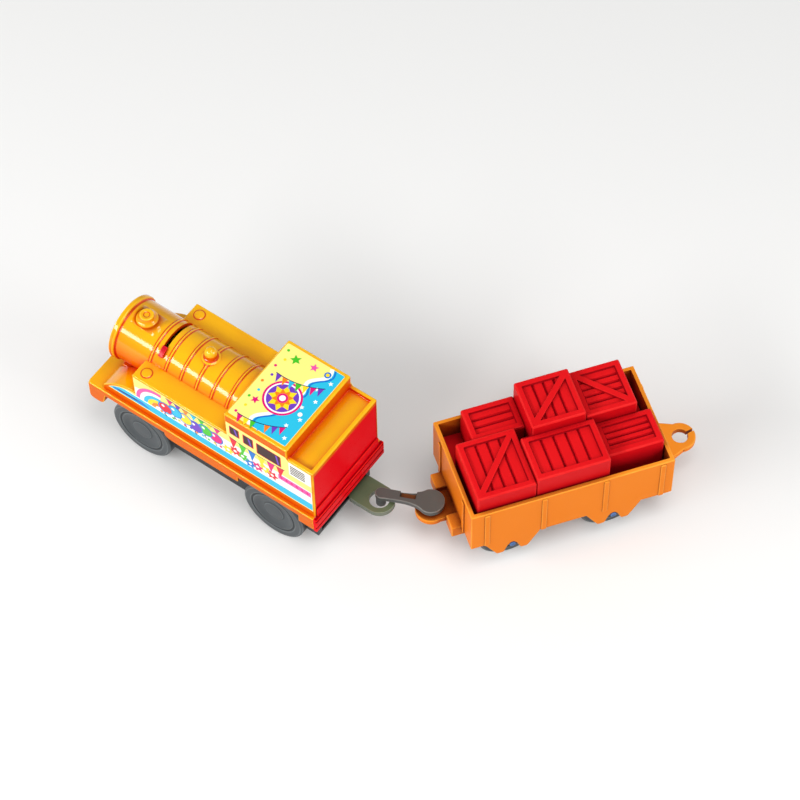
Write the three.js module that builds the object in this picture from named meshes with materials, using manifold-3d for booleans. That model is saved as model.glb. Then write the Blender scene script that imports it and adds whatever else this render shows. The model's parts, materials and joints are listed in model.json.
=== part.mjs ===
// A battery toy train: an orange tank locomotive that pulls an orange wagon of red crates.
// Millimetres. The origin is under the middle of the train, on the rail. +X is ahead, +Y is
// the left side and +Z is up. The locomotive is modelled with its rear face at X = 0, and the
// wagon and the link in frames of their own, turned as the train stands in a bend.

import * as THREE from 'three';
import { mergeVertices } from 'three/addons/utils/BufferGeometryUtils.js';
import Module from 'manifold-3d';

const wasm = await Module();
wasm.setup();

// Fits that every piece shares
const fitGap = 0.3;
const pressGap = 0.12;
const runningGap = 0.25;
const overrun = 3;
const wall = 1.5;
const roundSides = 32;
const smallSides = 16;

// Locomotive wheels and axles, on both sides of the chassis tub
const tubHalfWidth = 13.2;
const wheelSideGap = 1;
const wheelRadius = 13.3;
const wheelWidth = 4.4;
const wheelInnerY = tubHalfWidth + wheelSideGap;
const axleRadius = 1.2;
const rearAxleX = 20.7;

// The AA cell and its contacts lie between the axles, and set how far apart those are
const cellRadius = 7.25;
const cellLength = 49.2;
const cellNubRadius = 2.7;
const cellNubLength = 1.3;
const contactThickness = 0.4;
const springLength = 3.6;
const axleWall = 1.1;
const bayRear = rearAxleX + axleRadius + wall;
const contactX = bayRear + fitGap;
const cellRear = contactX + contactThickness + fitGap;
const cellFront = cellRear + cellNubLength + cellLength;
const springX = cellFront + fitGap;
const springPlateX = springX + springLength;
const bayFront = springPlateX + contactThickness + fitGap;
const frontAxleX = bayFront + axleWall + axleRadius;

// Locomotive body
const bodyHalfWidth = 19.4;
const ledgeOverhang = 1.4;
const ledgeHalfWidth = bodyHalfWidth + ledgeOverhang;
const archGap = 1.2;
const ledgeBottom = 2 * wheelRadius + archGap;
const ledgeDepth = 3.2;
const ledgeTop = ledgeBottom + ledgeDepth;
const bunkerLength = 11.3;
const bunkerRise = 28.7;
const bunkerTop = ledgeTop + bunkerRise;
const cabLength = 27.5;
const cabRise = 33.9;
const cabFront = bunkerLength + cabLength;
const roofTop = ledgeTop + cabRise;
const tankLength = 42.7;
const tankRise = 21.5;
const tankFront = cabFront + tankLength;
const tankTop = ledgeTop + tankRise;
const beamGap = 1.9;
const beamLength = 6.5;
const deckFront = frontAxleX + wheelRadius + beamGap + beamLength;

// Boiler
const boilerRadius = 12.25;
const boilerRise = 16.3;
const boilerZ = ledgeTop + boilerRise;
const smokeboxReach = 16.3;
const boilerFront = tankFront + smokeboxReach;
const boilerBore = boilerRadius - wall;

// Battery and chassis
const groundGap = 4.3;
const coverThickness = 1.2;
const tubBottom = groundGap + coverThickness;
const cellZ = tubBottom + fitGap + cellRadius;
const plateTop = ledgeTop - wall - fitGap;
const plateThickness = 1.7;
const plateBottom = plateTop - plateThickness;

// Couplings: every vehicle has a ring or hook at this height, and links lie on top
const ringTop = 15.4;
const ringThickness = 2.4;
const hookFloor = ringTop - ringThickness;
const ringHoleRadius = 3;
const linkRise = 2.6;
const linkThickness = 2.2;
const linkBottom = ringTop + linkRise;

// Wagon
const wagonLength = 77.6;
const wagonHalfWidth = 21.6;
const wagonWall = 1.5;
const wagonRim = 37.2;
const wagonWheelRadius = 11.5;
const wagonAxleRadius = 1.1;
const wagonFloor = 25.2;

const orange = { color: 0xff9a05, roughness: 0.3, metalness: 0 };
const wagonOrange = { color: 0xf08322, roughness: 0.38, metalness: 0 };
const red = { color: 0xd8141e, roughness: 0.35, metalness: 0 };
const blackPlastic = { color: 0x232427, roughness: 0.55, metalness: 0 };
const greyPlastic = { color: 0x6b6d6e, roughness: 0.5, metalness: 0 };
const oliveGrey = { color: 0x4c5442, roughness: 0.55, metalness: 0 };
const rubber = { color: 0x3a3b3c, roughness: 0.85, metalness: 0 };
const steel = { color: 0xb9bcc0, roughness: 0.3, metalness: 1 };
const copper = { color: 0xb87a45, roughness: 0.35, metalness: 1 };
const whitePlastic = { color: 0xe6e4dc, roughness: 0.45, metalness: 0 };
const cellSleeve = { color: 0x2a5aa8, roughness: 0.4, metalness: 0.1 };
const labelPaper = { color: 0xf6ef9c, roughness: 0.4, metalness: 0 };
const redWire = { color: 0xc01a1a, roughness: 0.5, metalness: 0 };

const train = new THREE.Group();
const loco = new THREE.Group();
train.add(loco);

// A closed geometry as a solid that can be cut and joined.
function solidOf(geometry) {
  geometry.deleteAttribute('normal');
  geometry.deleteAttribute('uv');
  const merged = mergeVertices(geometry);
  const corners = merged.index.array;
  const triangles = [];
  for (let i = 0; i < corners.length; i += 3) {
    const [a, b, c] = [corners[i], corners[i + 1], corners[i + 2]];
    if (a !== b && b !== c && c !== a) triangles.push(a, b, c);
  }
  const vertices = merged.attributes.position.array;
  if (signedVolume(vertices, triangles) < 0) triangles.reverse();
  return new wasm.Manifold(new wasm.Mesh({
    numProp: 3,
    vertProperties: Float32Array.from(vertices),
    triVerts: Uint32Array.from(triangles),
  }));
}

function signedVolume(vertices, triangles) {
  const [a, b, c] = [new THREE.Vector3(), new THREE.Vector3(), new THREE.Vector3()];
  let sum = 0;
  for (let i = 0; i < triangles.length; i += 3) {
    a.fromArray(vertices, 3 * triangles[i]);
    b.fromArray(vertices, 3 * triangles[i + 1]);
    c.fromArray(vertices, 3 * triangles[i + 2]);
    sum += a.dot(b.cross(c));
  }
  return sum;
}

// One named piece of the train.
function addPiece(parent, name, solid, finish) {
  const shape = solid.getMesh();
  const geometry = new THREE.BufferGeometry();
  geometry.setAttribute('position', new THREE.BufferAttribute(shape.vertProperties, shape.numProp));
  geometry.setIndex(new THREE.BufferAttribute(shape.triVerts, 1));
  geometry.computeVertexNormals();
  const mesh = new THREE.Mesh(geometry, new THREE.MeshStandardMaterial(finish));
  mesh.name = name;
  parent.add(mesh);
  return mesh;
}

function joined(...solids) {
  return solids.reduce((whole, next) => whole.add(next));
}

function cutBy(solid, ...tools) {
  return tools.reduce((whole, tool) => whole.subtract(tool), solid);
}

// A box between two corners.
function block(x0, x1, y0, y1, z0, z1) {
  const geometry = new THREE.BoxGeometry(x1 - x0, y1 - y0, z1 - z0);
  geometry.translate((x0 + x1) / 2, (y0 + y1) / 2, (z0 + z1) / 2);
  return solidOf(geometry);
}

// A round bar along one axis; a and b are its other two coordinates, in X, Y, Z order.
function rod(axis, radius, start, end, a, b, sides = smallSides) {
  const geometry = new THREE.CylinderGeometry(radius, radius, end - start, sides);
  const middle = (start + end) / 2;
  if (axis === 'x') geometry.rotateZ(Math.PI / 2).translate(middle, a, b);
  if (axis === 'y') geometry.translate(a, middle, b);
  if (axis === 'z') geometry.rotateX(Math.PI / 2).translate(a, b, middle);
  return solidOf(geometry);
}

// A turned piece: points are [radius, height], along the axis from the place given.
function turned(axis, points, x, y, z, sides = roundSides) {
  const profile = points.map(([radius, height]) => new THREE.Vector2(radius, height));
  const geometry = new THREE.LatheGeometry(profile, sides);
  if (axis === 'x') geometry.rotateZ(-Math.PI / 2);
  if (axis === 'z') geometry.rotateX(Math.PI / 2);
  geometry.translate(x, y, z);
  return solidOf(geometry);
}

// An outline from points or a ready shape.
function outlineOf(points) {
  if (points instanceof THREE.Shape) return points;
  return new THREE.Shape(points.map(([a, b]) => new THREE.Vector2(a, b)));
}

// A plan outline in X and Y, thick from z0 to z1.
function planSlab(points, z0, z1, curveSegments = 12) {
  const geometry = new THREE.ExtrudeGeometry(outlineOf(points), {
    depth: z1 - z0, bevelEnabled: false, curveSegments,
  });
  geometry.translate(0, 0, z0);
  return solidOf(geometry);
}

// A side outline in X and Z, thick from y0 to y1.
function sideSlab(points, y0, y1, curveSegments = 12) {
  const geometry = new THREE.ExtrudeGeometry(outlineOf(points), {
    depth: y1 - y0, bevelEnabled: false, curveSegments,
  });
  geometry.rotateX(Math.PI / 2).translate(0, y1, 0);
  return solidOf(geometry);
}

// An end outline in Y and Z, thick from x0 to x1.
function endSlab(points, x0, x1, curveSegments = 12) {
  const geometry = new THREE.ExtrudeGeometry(outlineOf(points), {
    depth: x1 - x0, bevelEnabled: false, curveSegments,
  });
  const turn = new THREE.Matrix4().makeBasis(
    new THREE.Vector3(0, 1, 0), new THREE.Vector3(0, 0, 1), new THREE.Vector3(1, 0, 0));
  geometry.applyMatrix4(turn).translate(x0, 0, 0);
  return solidOf(geometry);
}

// A ring sector as a shape, from the inner to the outer radius between two angles.
function sector(centreA, centreB, inner, outer, fromAngle, toAngle) {
  const shape = new THREE.Shape();
  shape.absarc(centreA, centreB, outer, fromAngle, toAngle, false);
  shape.absarc(centreA, centreB, inner, toAngle, fromAngle, true);
  shape.closePath();
  return shape;
}

function mirrorY(solid) {
  return solid.mirror([0, 1, 0]);
}

const radians = THREE.MathUtils.degToRad;

// Body shell: one orange moulding, open below. The side view gives its main steps, the tank
// fronts sweep down to the deck, and the boiler runs on top of the tanks.
const sweepRise = 10.4;
const sweepLength = 15.4;
const sweepFoot = 2.2;
const cornerDepth = 4.2;
const skirtGap = 0.4;
const rearCornerLength = rearAxleX - wheelRadius - skirtGap;
const beamDrop = 6.6;
const beamCornerRadius = 2.4;
const skirtStart = rearAxleX + wheelRadius + skirtGap;
const skirtFront = frontAxleX - wheelRadius - skirtGap;
const skirtDrop = 3.3;
const skirtCurve = 4.6;
const bunkerRecess = 1.5;
const bunkerRimWidth = 1.5;
const cornerRound = 1.6;
const splasherWidth = 9.6;
const saddleSetback = 2.5;
const saddleRear = tankFront + saddleSetback;
const saddleLength = 11;
const saddleHalfWidth = 9;

const bodySide = new THREE.Shape();
bodySide.moveTo(0, ledgeTop);
bodySide.lineTo(0, bunkerTop);
bodySide.lineTo(bunkerLength, bunkerTop);
bodySide.lineTo(bunkerLength, roofTop);
bodySide.lineTo(cabFront, roofTop);
bodySide.lineTo(cabFront, tankTop);
bodySide.lineTo(tankFront, tankTop);
bodySide.lineTo(tankFront, ledgeTop);

const sweepSide = new THREE.Shape();
sweepSide.moveTo(tankFront - wall, ledgeTop);
sweepSide.lineTo(tankFront - wall, ledgeTop + sweepRise);
sweepSide.lineTo(tankFront, ledgeTop + sweepRise);
sweepSide.quadraticCurveTo(
  tankFront + sweepLength / 2, ledgeTop + sweepRise,
  tankFront + sweepLength, ledgeTop + sweepFoot);
sweepSide.lineTo(tankFront + sweepLength, ledgeTop);

function beamSide() {
  const shape = new THREE.Shape();
  const rear = deckFront - beamLength;
  const low = ledgeBottom - beamDrop;
  shape.moveTo(rear - cornerRound, ledgeBottom);
  shape.lineTo(rear, low + beamCornerRadius);
  shape.quadraticCurveTo(rear, low, rear + beamCornerRadius, low);
  shape.lineTo(deckFront - beamCornerRadius, low);
  shape.quadraticCurveTo(deckFront, low, deckFront, low + beamCornerRadius);
  shape.lineTo(deckFront, ledgeTop);
  shape.lineTo(rear - cornerRound, ledgeTop);
  return shape;
}

function skirtSide() {
  const shape = new THREE.Shape();
  const low = ledgeBottom - skirtDrop;
  shape.moveTo(skirtStart, ledgeBottom + wall);
  shape.lineTo(skirtStart, low);
  shape.lineTo(skirtFront - skirtCurve, low);
  shape.quadraticCurveTo(skirtFront, low, skirtFront, ledgeBottom + wall);
  return shape;
}

function ledgePlan() {
  const shape = new THREE.Shape();
  shape.moveTo(0, -ledgeHalfWidth);
  shape.lineTo(deckFront - cornerRound, -ledgeHalfWidth);
  shape.quadraticCurveTo(deckFront, -ledgeHalfWidth, deckFront, -ledgeHalfWidth + cornerRound);
  shape.lineTo(deckFront, ledgeHalfWidth - cornerRound);
  shape.quadraticCurveTo(deckFront, ledgeHalfWidth, deckFront - cornerRound, ledgeHalfWidth);
  shape.lineTo(0, ledgeHalfWidth);
  return shape;
}

// Bands on the boiler, each a thin raised hoop, at their distances ahead of the cab
const bandWidth = 0.9;
const bandHeight = 0.35;
const bandPitch = 6.9;
const firstBand = 5.7;
const bandCount = 5;
const rimWidth = 2.1;
const rimHeight = 0.85;

function boilerSolid() {
  const parts = [rod('x', boilerRadius, cabFront - wall, boilerFront, 0, boilerZ, roundSides)];
  for (let i = 0; i < bandCount; i += 1) {
    const start = cabFront + firstBand + i * bandPitch;
    parts.push(rod('x', boilerRadius + bandHeight, start, start + bandWidth, 0, boilerZ, roundSides));
  }
  const smokeboxBand = tankFront - wall - bandWidth;
  parts.push(rod('x', boilerRadius + bandHeight, smokeboxBand, smokeboxBand + bandWidth,
    0, boilerZ, roundSides));
  parts.push(rod('x', boilerRadius + rimHeight, boilerFront - rimWidth, boilerFront,
    0, boilerZ, roundSides));
  return joined(...parts);
}

// Boiler fittings: chimney stub, dome and the two tank fillers
const fittingRoot = 2;
const chimneyReach = 7.2;
const chimneyX = tankFront + chimneyReach;
const chimneyBaseRadius = 4.1;
const chimneyRadius = 3;
const chimneyBaseRise = 1;
const chimneyRise = 2.8;
const chimneyBore = 1.9;
const chimneyBoreDepth = 0.5;
const domeReach = 20.7;
const domeX = cabFront + domeReach;
const domeRadius = 2.4;
const domeRise = 5;
const fillerSetback = 4.1;
const fillerX = tankFront - fillerSetback;
const fillerInset = 3.8;
const fillerY = bodyHalfWidth - fillerInset;
const fillerRadius = 2.2;
const fillerRise = 0.9;

function domed(radius, rise, x, y, base) {
  const points = [[0, -fittingRoot], [radius, -fittingRoot]];
  const shoulder = rise - radius;
  const steps = 4;
  for (let i = 0; i < steps; i += 1) {
    const angle = (i / steps) * Math.PI / 2;
    const height = Math.max(shoulder, 0) + Math.min(radius, rise) * Math.sin(angle);
    points.push([radius * Math.cos(angle), height]);
  }
  points.push([0, rise]);
  return turned('z', points, x, y, base, smallSides);
}

function fittings() {
  const top = boilerZ + boilerRadius;
  const chimney = turned('z', [
    [0, -fittingRoot], [chimneyBaseRadius, -fittingRoot], [chimneyBaseRadius, chimneyBaseRise],
    [chimneyRadius, chimneyBaseRise + pressGap], [chimneyRadius, chimneyRise],
    [chimneyBore, chimneyRise], [chimneyBore, chimneyRise - chimneyBoreDepth],
    [0, chimneyRise - chimneyBoreDepth],
  ], chimneyX, 0, top, smallSides + 8);
  return joined(
    chimney,
    domed(domeRadius, domeRise, domeX, 0, top),
    domed(fillerRadius, fillerRise, fillerX, fillerY, tankTop),
    domed(fillerRadius, fillerRise, fillerX, -fillerY, tankTop),
  );
}

// The arc slot over the boiler, and the switch that works in it
const slotSetback = 5.3;
const slotX = tankFront - slotSetback;
const slotWidth = 1.8;
const slotStart = 44;
const slotEnd = 153;

// Screw posts: one behind the cab, two in the saddle under the smokebox
const postRadius = 3;
const rearPostX = 10;
const frontPostX = saddleRear + 2 * saddleLength / 3;
const frontPostY = 6.2;
const screwShankRadius = 0.95;
const screwHoleRadius = 1.15;
const screwHeadRadius = 2;
const screwHeadHeight = 1.1;
const screwReach = 6;
const counterboreGap = 0.4;
const counterboreRadius = screwHeadRadius + counterboreGap;
const screwPlaces = [[rearPostX, 0], [frontPostX, frontPostY], [frontPostX, -frontPostY]];

const panelHalfWidth = bodyHalfWidth - wall / 2;
const panelThickness = 1.2;
const panelDrop = 2.1;
const inner = bodyHalfWidth - wall;
const saddleTop = boilerZ - boilerRadius + wall;

function bodyShell() {
  const upper = joined(
    sideSlab(bodySide, -bodyHalfWidth, bodyHalfWidth),
    sideSlab(sweepSide, bodyHalfWidth - splasherWidth, bodyHalfWidth),
    sideSlab(sweepSide, -bodyHalfWidth, splasherWidth - bodyHalfWidth),
    boilerSolid(),
    fittings(),
    block(saddleRear, saddleRear + saddleLength, -saddleHalfWidth, saddleHalfWidth,
      ledgeTop - wall, saddleTop),
    planSlab(ledgePlan(), ledgeBottom, ledgeTop),
    sideSlab(beamSide(), -ledgeHalfWidth, ledgeHalfWidth).intersect(
      planSlab(ledgePlan(), ledgeBottom - beamDrop - overrun, ledgeTop + overrun)),
    sideSlab(skirtSide(), bodyHalfWidth, ledgeHalfWidth),
    sideSlab(skirtSide(), -ledgeHalfWidth, -bodyHalfWidth),
  );
  const corners = [];
  for (const side of [-1, 1]) {
    const ends = [side * inner, side * ledgeHalfWidth].sort((a, b) => a - b);
    corners.push(block(0, rearCornerLength, ends[0], ends[1], ledgeBottom - cornerDepth, ledgeTop));
  }
  const low = ledgeBottom - beamDrop - overrun;
  const hollows = [
    block(wall, deckFront - wall, -inner, inner, low, ledgeTop - wall),
    block(wall, tankFront - wall, -inner, inner, low, bunkerTop - bunkerRecess - wall)
      .subtract(block(cabFront - wall, tankFront + overrun, -inner - overrun, inner + overrun,
        tankTop - wall, roofTop)),
    block(bunkerLength + wall, cabFront - wall, -inner, inner, ledgeTop - wall - overrun, roofTop - wall),
    rod('x', boilerBore, cabFront - 2 * wall, boilerFront + overrun, 0, boilerZ, roundSides),
    block(bunkerRimWidth, bunkerLength, -bodyHalfWidth + bunkerRimWidth, bodyHalfWidth - bunkerRimWidth,
      bunkerTop - bunkerRecess, bunkerTop + overrun),
    block(-overrun, wall, -panelHalfWidth - pressGap, panelHalfWidth + pressGap,
      low, bunkerTop - panelDrop),
    endSlab(sector(0, boilerZ, boilerBore - overrun, boilerRadius + overrun,
      radians(slotStart), radians(slotEnd)), slotX - slotWidth / 2, slotX + slotWidth / 2, 24),
  ];
  for (const side of [-1, 1]) {
    const from = side > 0 ? bodyHalfWidth - splasherWidth + wall : -inner;
    const to = side > 0 ? inner : splasherWidth - wall - bodyHalfWidth;
    const hollowSide = new THREE.Shape();
    hollowSide.moveTo(tankFront - wall, ledgeTop - wall - overrun);
    hollowSide.lineTo(tankFront - wall, ledgeTop + sweepRise - wall);
    hollowSide.lineTo(tankFront, ledgeTop + sweepRise - wall);
    hollowSide.lineTo(tankFront + sweepLength / 2, ledgeTop + sweepRise / 2);
    hollowSide.lineTo(tankFront + sweepLength - 2 * wall, ledgeTop);
    hollowSide.lineTo(tankFront + sweepLength - 2 * wall, ledgeTop - wall - overrun);
    hollows.push(sideSlab(hollowSide, from, to));
  }
  let shell = cutBy(joined(upper, ...corners), ...hollows);
  const rearPost = rod('z', postRadius, plateTop + fitGap, bunkerTop - bunkerRecess - wall / 2,
    rearPostX, 0);
  const saddleWeb = block(saddleRear, saddleRear + saddleLength, -saddleHalfWidth, saddleHalfWidth,
    plateTop + fitGap, saddleTop).subtract(rod('x', boilerBore, saddleRear - overrun,
    saddleRear + saddleLength + overrun, 0, boilerZ, roundSides));
  shell = joined(shell, rearPost, saddleWeb);
  return cutBy(shell, ...screwPlaces.map(([x, y]) => rod('z', screwHoleRadius,
    plateTop - overrun, plateTop + fitGap + screwReach, x, y, 12)));
}
addPiece(loco, 'body_shell', bodyShell(), orange);

// Rear panel: a red plate let into the back of the shell, with a grooved flange at its foot
const flangeProud = 1.5;
const grooveWidth = 0.8;
const grooveDepth = 0.45;
const grooveShares = [0.18, 0.45];

function rearPanel() {
  const flangeBottom = ledgeBottom - cornerDepth;
  const flangeHeight = ledgeTop - flangeBottom;
  const panelTop = bunkerTop - panelDrop - pressGap;
  const solid = joined(
    block(0, panelThickness, -panelHalfWidth, panelHalfWidth, flangeBottom, panelTop),
    block(-flangeProud, 0, -ledgeHalfWidth, ledgeHalfWidth, flangeBottom, ledgeTop),
    block(-flangeProud / 2, panelThickness / 2, -panelHalfWidth, panelHalfWidth, ledgeTop - wall,
      ledgeTop + flangeHeight * (1 - grooveShares[0] * 2)),
  );
  const grooves = grooveShares.map((share) => {
    const z = flangeBottom + flangeHeight * share * 2 - grooveWidth / 2;
    return block(-flangeProud - overrun, -flangeProud + grooveDepth,
      -ledgeHalfWidth - overrun, ledgeHalfWidth + overrun, z, z + grooveWidth);
  });
  return cutBy(solid, ...grooves);
}
addPiece(loco, 'rear_panel', rearPanel(), red);

// Smokebox door: a shallow domed disc in the end of the boiler, with two hinge straps and a knob
const doorThickness = 2;
const doorDepth = 1;
const doorCrown = 0.9;
const doorCrownShares = [0.8, 0.25];
const strapHeight = 1.4;
const strapLength = 13;
const strapProud = 0.5;
const strapSpacing = 7;
const knobRadius = 1.3;
const knobReach = 1.4;

function smokeboxDoor() {
  const radius = boilerBore - fitGap;
  const face = boilerFront - doorDepth;
  const solid = turned('x', [
    [0, -doorThickness], [radius, -doorThickness], [radius, -doorCrown],
    [radius * doorCrownShares[0], -doorCrown * doorCrownShares[1]], [0, 0],
  ], face, 0, boilerZ, 24);
  const parts = [solid, rod('x', knobRadius, face - doorThickness / 2, face + knobReach, 0, boilerZ)];
  for (const side of [-1, 1]) {
    const z = boilerZ + side * strapSpacing / 2;
    parts.push(block(face - doorThickness / 2, face + strapProud, -strapLength / 2, strapLength / 2,
      z - strapHeight / 2, z + strapHeight / 2));
  }
  return joined(...parts);
}
addPiece(loco, 'smokebox_door', smokeboxDoor(), orange);

// Labels: thin printed sheets on the cab roof and on both sides
const labelThickness = 0.25;
const labelMargin = 0.7;
const labelFoot = 3.6;

function sideLabelOutline() {
  const low = ledgeTop + labelFoot;
  const shape = new THREE.Shape();
  shape.moveTo(labelMargin, low);
  shape.lineTo(labelMargin, bunkerTop - labelMargin);
  shape.lineTo(bunkerLength - labelMargin, bunkerTop - labelMargin);
  shape.lineTo(bunkerLength + labelMargin, roofTop - 6 * labelMargin);
  shape.lineTo(cabFront - labelMargin, roofTop - 6 * labelMargin);
  shape.lineTo(cabFront - labelMargin, tankTop - labelMargin);
  shape.lineTo(tankFront - labelMargin, tankTop - labelMargin);
  shape.lineTo(tankFront - labelMargin, ledgeTop + sweepRise - labelMargin);
  shape.quadraticCurveTo(
    tankFront + sweepLength / 2 - labelMargin, ledgeTop + sweepRise - labelMargin,
    tankFront + sweepLength - 4 * labelMargin, low);
  return shape;
}

const sideLabel = sideSlab(sideLabelOutline(), bodyHalfWidth, bodyHalfWidth + labelThickness);
addPiece(loco, 'side_label_left', sideLabel, labelPaper);
addPiece(loco, 'side_label_right', mirrorY(sideLabel), labelPaper);
addPiece(loco, 'roof_label', block(bunkerLength + 2 * labelMargin, cabFront - labelMargin,
  -bodyHalfWidth + 2 * labelMargin, bodyHalfWidth - 2 * labelMargin,
  roofTop, roofTop + labelThickness), labelPaper);

// Gears: thin trapezoid teeth on the pitch circles, so that they mesh with play
const gearModule = 0.5;
const axleGearTeeth = 32;
const idlerPinionTeeth = 14;
const idlerWheelTeeth = 36;
const motorPinionTeeth = 10;
const toothRootShare = 0.62;
const toothTipShare = 0.22;
const addendumShare = 0.8;
const dedendumShare = 1.25;
const idlerAngle = 86;
const motorAngle = 78;

function pitchRadius(teeth) {
  return teeth * gearModule / 2;
}

// A gear's outline in X and Z; phase turns it by a share of a tooth.
function gearOutline(teeth, x, z, phase) {
  const root = pitchRadius(teeth) - dedendumShare * gearModule;
  const tip = pitchRadius(teeth) + addendumShare * gearModule;
  const points = [];
  const step = 2 * Math.PI / teeth;
  for (let i = 0; i < teeth; i += 1) {
    const middle = (i + phase) * step;
    const corners = [
      [root, -toothRootShare / 2], [tip, -toothTipShare / 2],
      [tip, toothTipShare / 2], [root, toothRootShare / 2],
    ];
    for (const [radius, share] of corners) {
      const angle = middle + share * step;
      points.push([x + radius * Math.cos(angle), z + radius * Math.sin(angle)]);
    }
  }
  return points;
}

// The phase at which a gear's tooth gap faces a mate that has a tooth on the line between them.
function facingPhase(teeth, angle, onTooth) {
  const turns = angle / (2 * Math.PI) * teeth;
  return turns - Math.floor(turns) + (onTooth ? 0 : 0.5);
}

const stageOneDistance = pitchRadius(axleGearTeeth) + pitchRadius(idlerPinionTeeth);
const stageTwoDistance = pitchRadius(idlerWheelTeeth) + pitchRadius(motorPinionTeeth);
const idlerX = rearAxleX + stageOneDistance * Math.cos(radians(idlerAngle));
const idlerZ = wheelRadius + stageOneDistance * Math.sin(radians(idlerAngle));
const motorX = idlerX + stageTwoDistance * Math.cos(radians(motorAngle));
const motorZ = idlerZ + stageTwoDistance * Math.sin(radians(motorAngle));

const gearBayWidth = 4.8;
const gearWallY = tubHalfWidth - gearBayWidth;
const lowGearY = gearWallY + fitGap;
const lowGearWidth = 1.7;
const highGearY = lowGearY + lowGearWidth + 2 * runningGap;
const highGearWidth = 1.5;
const idlerPinRadius = 0.9;
const gearHubRadius = 1.85;

function axleGear() {
  const phase = facingPhase(axleGearTeeth, radians(idlerAngle), true);
  const gear = sideSlab(gearOutline(axleGearTeeth, rearAxleX, wheelRadius, phase),
    lowGearY, lowGearY + lowGearWidth, 1);
  const hub = rod('y', gearHubRadius, lowGearY, highGearY + highGearWidth, rearAxleX, wheelRadius, 20);
  return joined(gear, hub).subtract(
    rod('y', axleRadius + pressGap, -tubHalfWidth, tubHalfWidth + overrun, rearAxleX, wheelRadius));
}
addPiece(loco, 'axle_gear', axleGear(), whitePlastic);

function idlerGear() {
  const down = radians(idlerAngle) + Math.PI;
  const pinion = sideSlab(
    gearOutline(idlerPinionTeeth, idlerX, idlerZ, facingPhase(idlerPinionTeeth, down, false)),
    lowGearY, highGearY + highGearWidth / 2, 1);
  const wheel = sideSlab(
    gearOutline(idlerWheelTeeth, idlerX, idlerZ, facingPhase(idlerWheelTeeth, radians(motorAngle), true)),
    highGearY, highGearY + highGearWidth, 1);
  return joined(pinion, wheel).subtract(
    rod('y', idlerPinRadius + runningGap, 0, tubHalfWidth + overrun, idlerX, idlerZ, 12));
}
addPiece(loco, 'idler_gear', idlerGear(), whitePlastic);

// Motor: a round can with two flats, an end cap with two terminals, a shaft and a pinion
const canRadius = 10;
const canHalfHeight = 7.55;
const canLeft = gearWallY - pressGap;
const capLength = 2.3;
const motorEndGap = 1.18;
const canRight = motorEndGap + capLength - inner;
const capInset = 0.4;
const shaftRadius = 1;
const shaftInCan = 5;
const terminalWidth = 1.6;
const terminalLength = 1;
const terminalHeight = 1.6;
const terminalSpacing = 9;

function motorSection(inset) {
  return rod('y', canRadius - inset, canRight - capLength - overrun, canLeft + overrun, motorX, motorZ, 32)
    .intersect(block(motorX - canRadius, motorX + canRadius, canRight - capLength - overrun,
      canLeft + overrun, motorZ - canHalfHeight + inset, motorZ + canHalfHeight - inset));
}

function between(solid, y0, y1) {
  return solid.intersect(block(-overrun, tankFront, y0, y1, 0, roofTop));
}
addPiece(loco, 'motor_can', between(motorSection(0), canRight, canLeft).subtract(
  rod('y', shaftRadius + runningGap, canLeft - shaftInCan - fitGap, canLeft + overrun,
    motorX, motorZ, 12)), steel);

function motorEndCap() {
  const capTop = motorZ + canHalfHeight - capInset;
  const parts = [between(motorSection(capInset), canRight - capLength, canRight)];
  for (const side of [-1, 1]) {
    const x = motorX + side * terminalSpacing / 2;
    parts.push(block(x - terminalWidth / 2, x + terminalWidth / 2,
      canRight - capLength + fitGap, canRight - capLength + fitGap + terminalLength,
      capTop - terminalHeight, capTop + terminalHeight));
  }
  return joined(...parts);
}
addPiece(loco, 'motor_end_cap', motorEndCap(), whitePlastic);

addPiece(loco, 'motor_shaft', rod('y', shaftRadius, canLeft - shaftInCan, highGearY + highGearWidth + fitGap,
  motorX, motorZ, 12), steel);
addPiece(loco, 'motor_pinion', sideSlab(
  gearOutline(motorPinionTeeth, motorX, motorZ,
    facingPhase(motorPinionTeeth, radians(motorAngle) + Math.PI, false)),
  highGearY, highGearY + highGearWidth, 1).subtract(
  rod('y', shaftRadius + pressGap, 0, tubHalfWidth + overrun, motorX, motorZ, 12)), whitePlastic);

// Motor strap: a bent strip over the can, its two feet on the chassis plate
const strapThickness = 0.8;
const strapWidth = 4;
const strapY = -11;
const strapFoot = 2.4;

function motorStrap() {
  const half = canRadius + fitGap;
  const top = motorZ + canHalfHeight + fitGap;
  const outer = half + strapThickness;
  return sideSlab([
    [motorX - outer - strapFoot, plateTop], [motorX - half, plateTop], [motorX - half, top],
    [motorX + half, top], [motorX + half, plateTop], [motorX + outer + strapFoot, plateTop],
    [motorX + outer + strapFoot, plateTop + strapThickness], [motorX + outer, plateTop + strapThickness],
    [motorX + outer, top + strapThickness], [motorX - outer, top + strapThickness],
    [motorX - outer, plateTop + strapThickness], [motorX - outer - strapFoot, plateTop + strapThickness],
  ], strapY, strapY + strapWidth);
}
addPiece(loco, 'motor_strap', motorStrap(), steel);

// Chassis: a black tub between the wheels under a plate that closes the shell from below
const tubRear = 11;
const tubFront = deckFront - beamLength;
const bayHalfWidth = cellRadius + fitGap;
const bayTop = cellZ + cellRadius + fitGap + 2 * contactThickness;
const gearBayMargin = 0.6;
const hookTravel = 9;
const tailHalfWidth = 5.4;
const tailRear = 3.3;
const tailLength = 2.6;
const neckHalfWidth = 4.5;
const rearBlockRear = 1.8;
const wingHalfWidth = tailHalfWidth + hookTravel + wall;
const wingFront = tailRear + tailLength + wall;
const wingTop = ringTop + fitGap + wall + fitGap;

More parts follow.
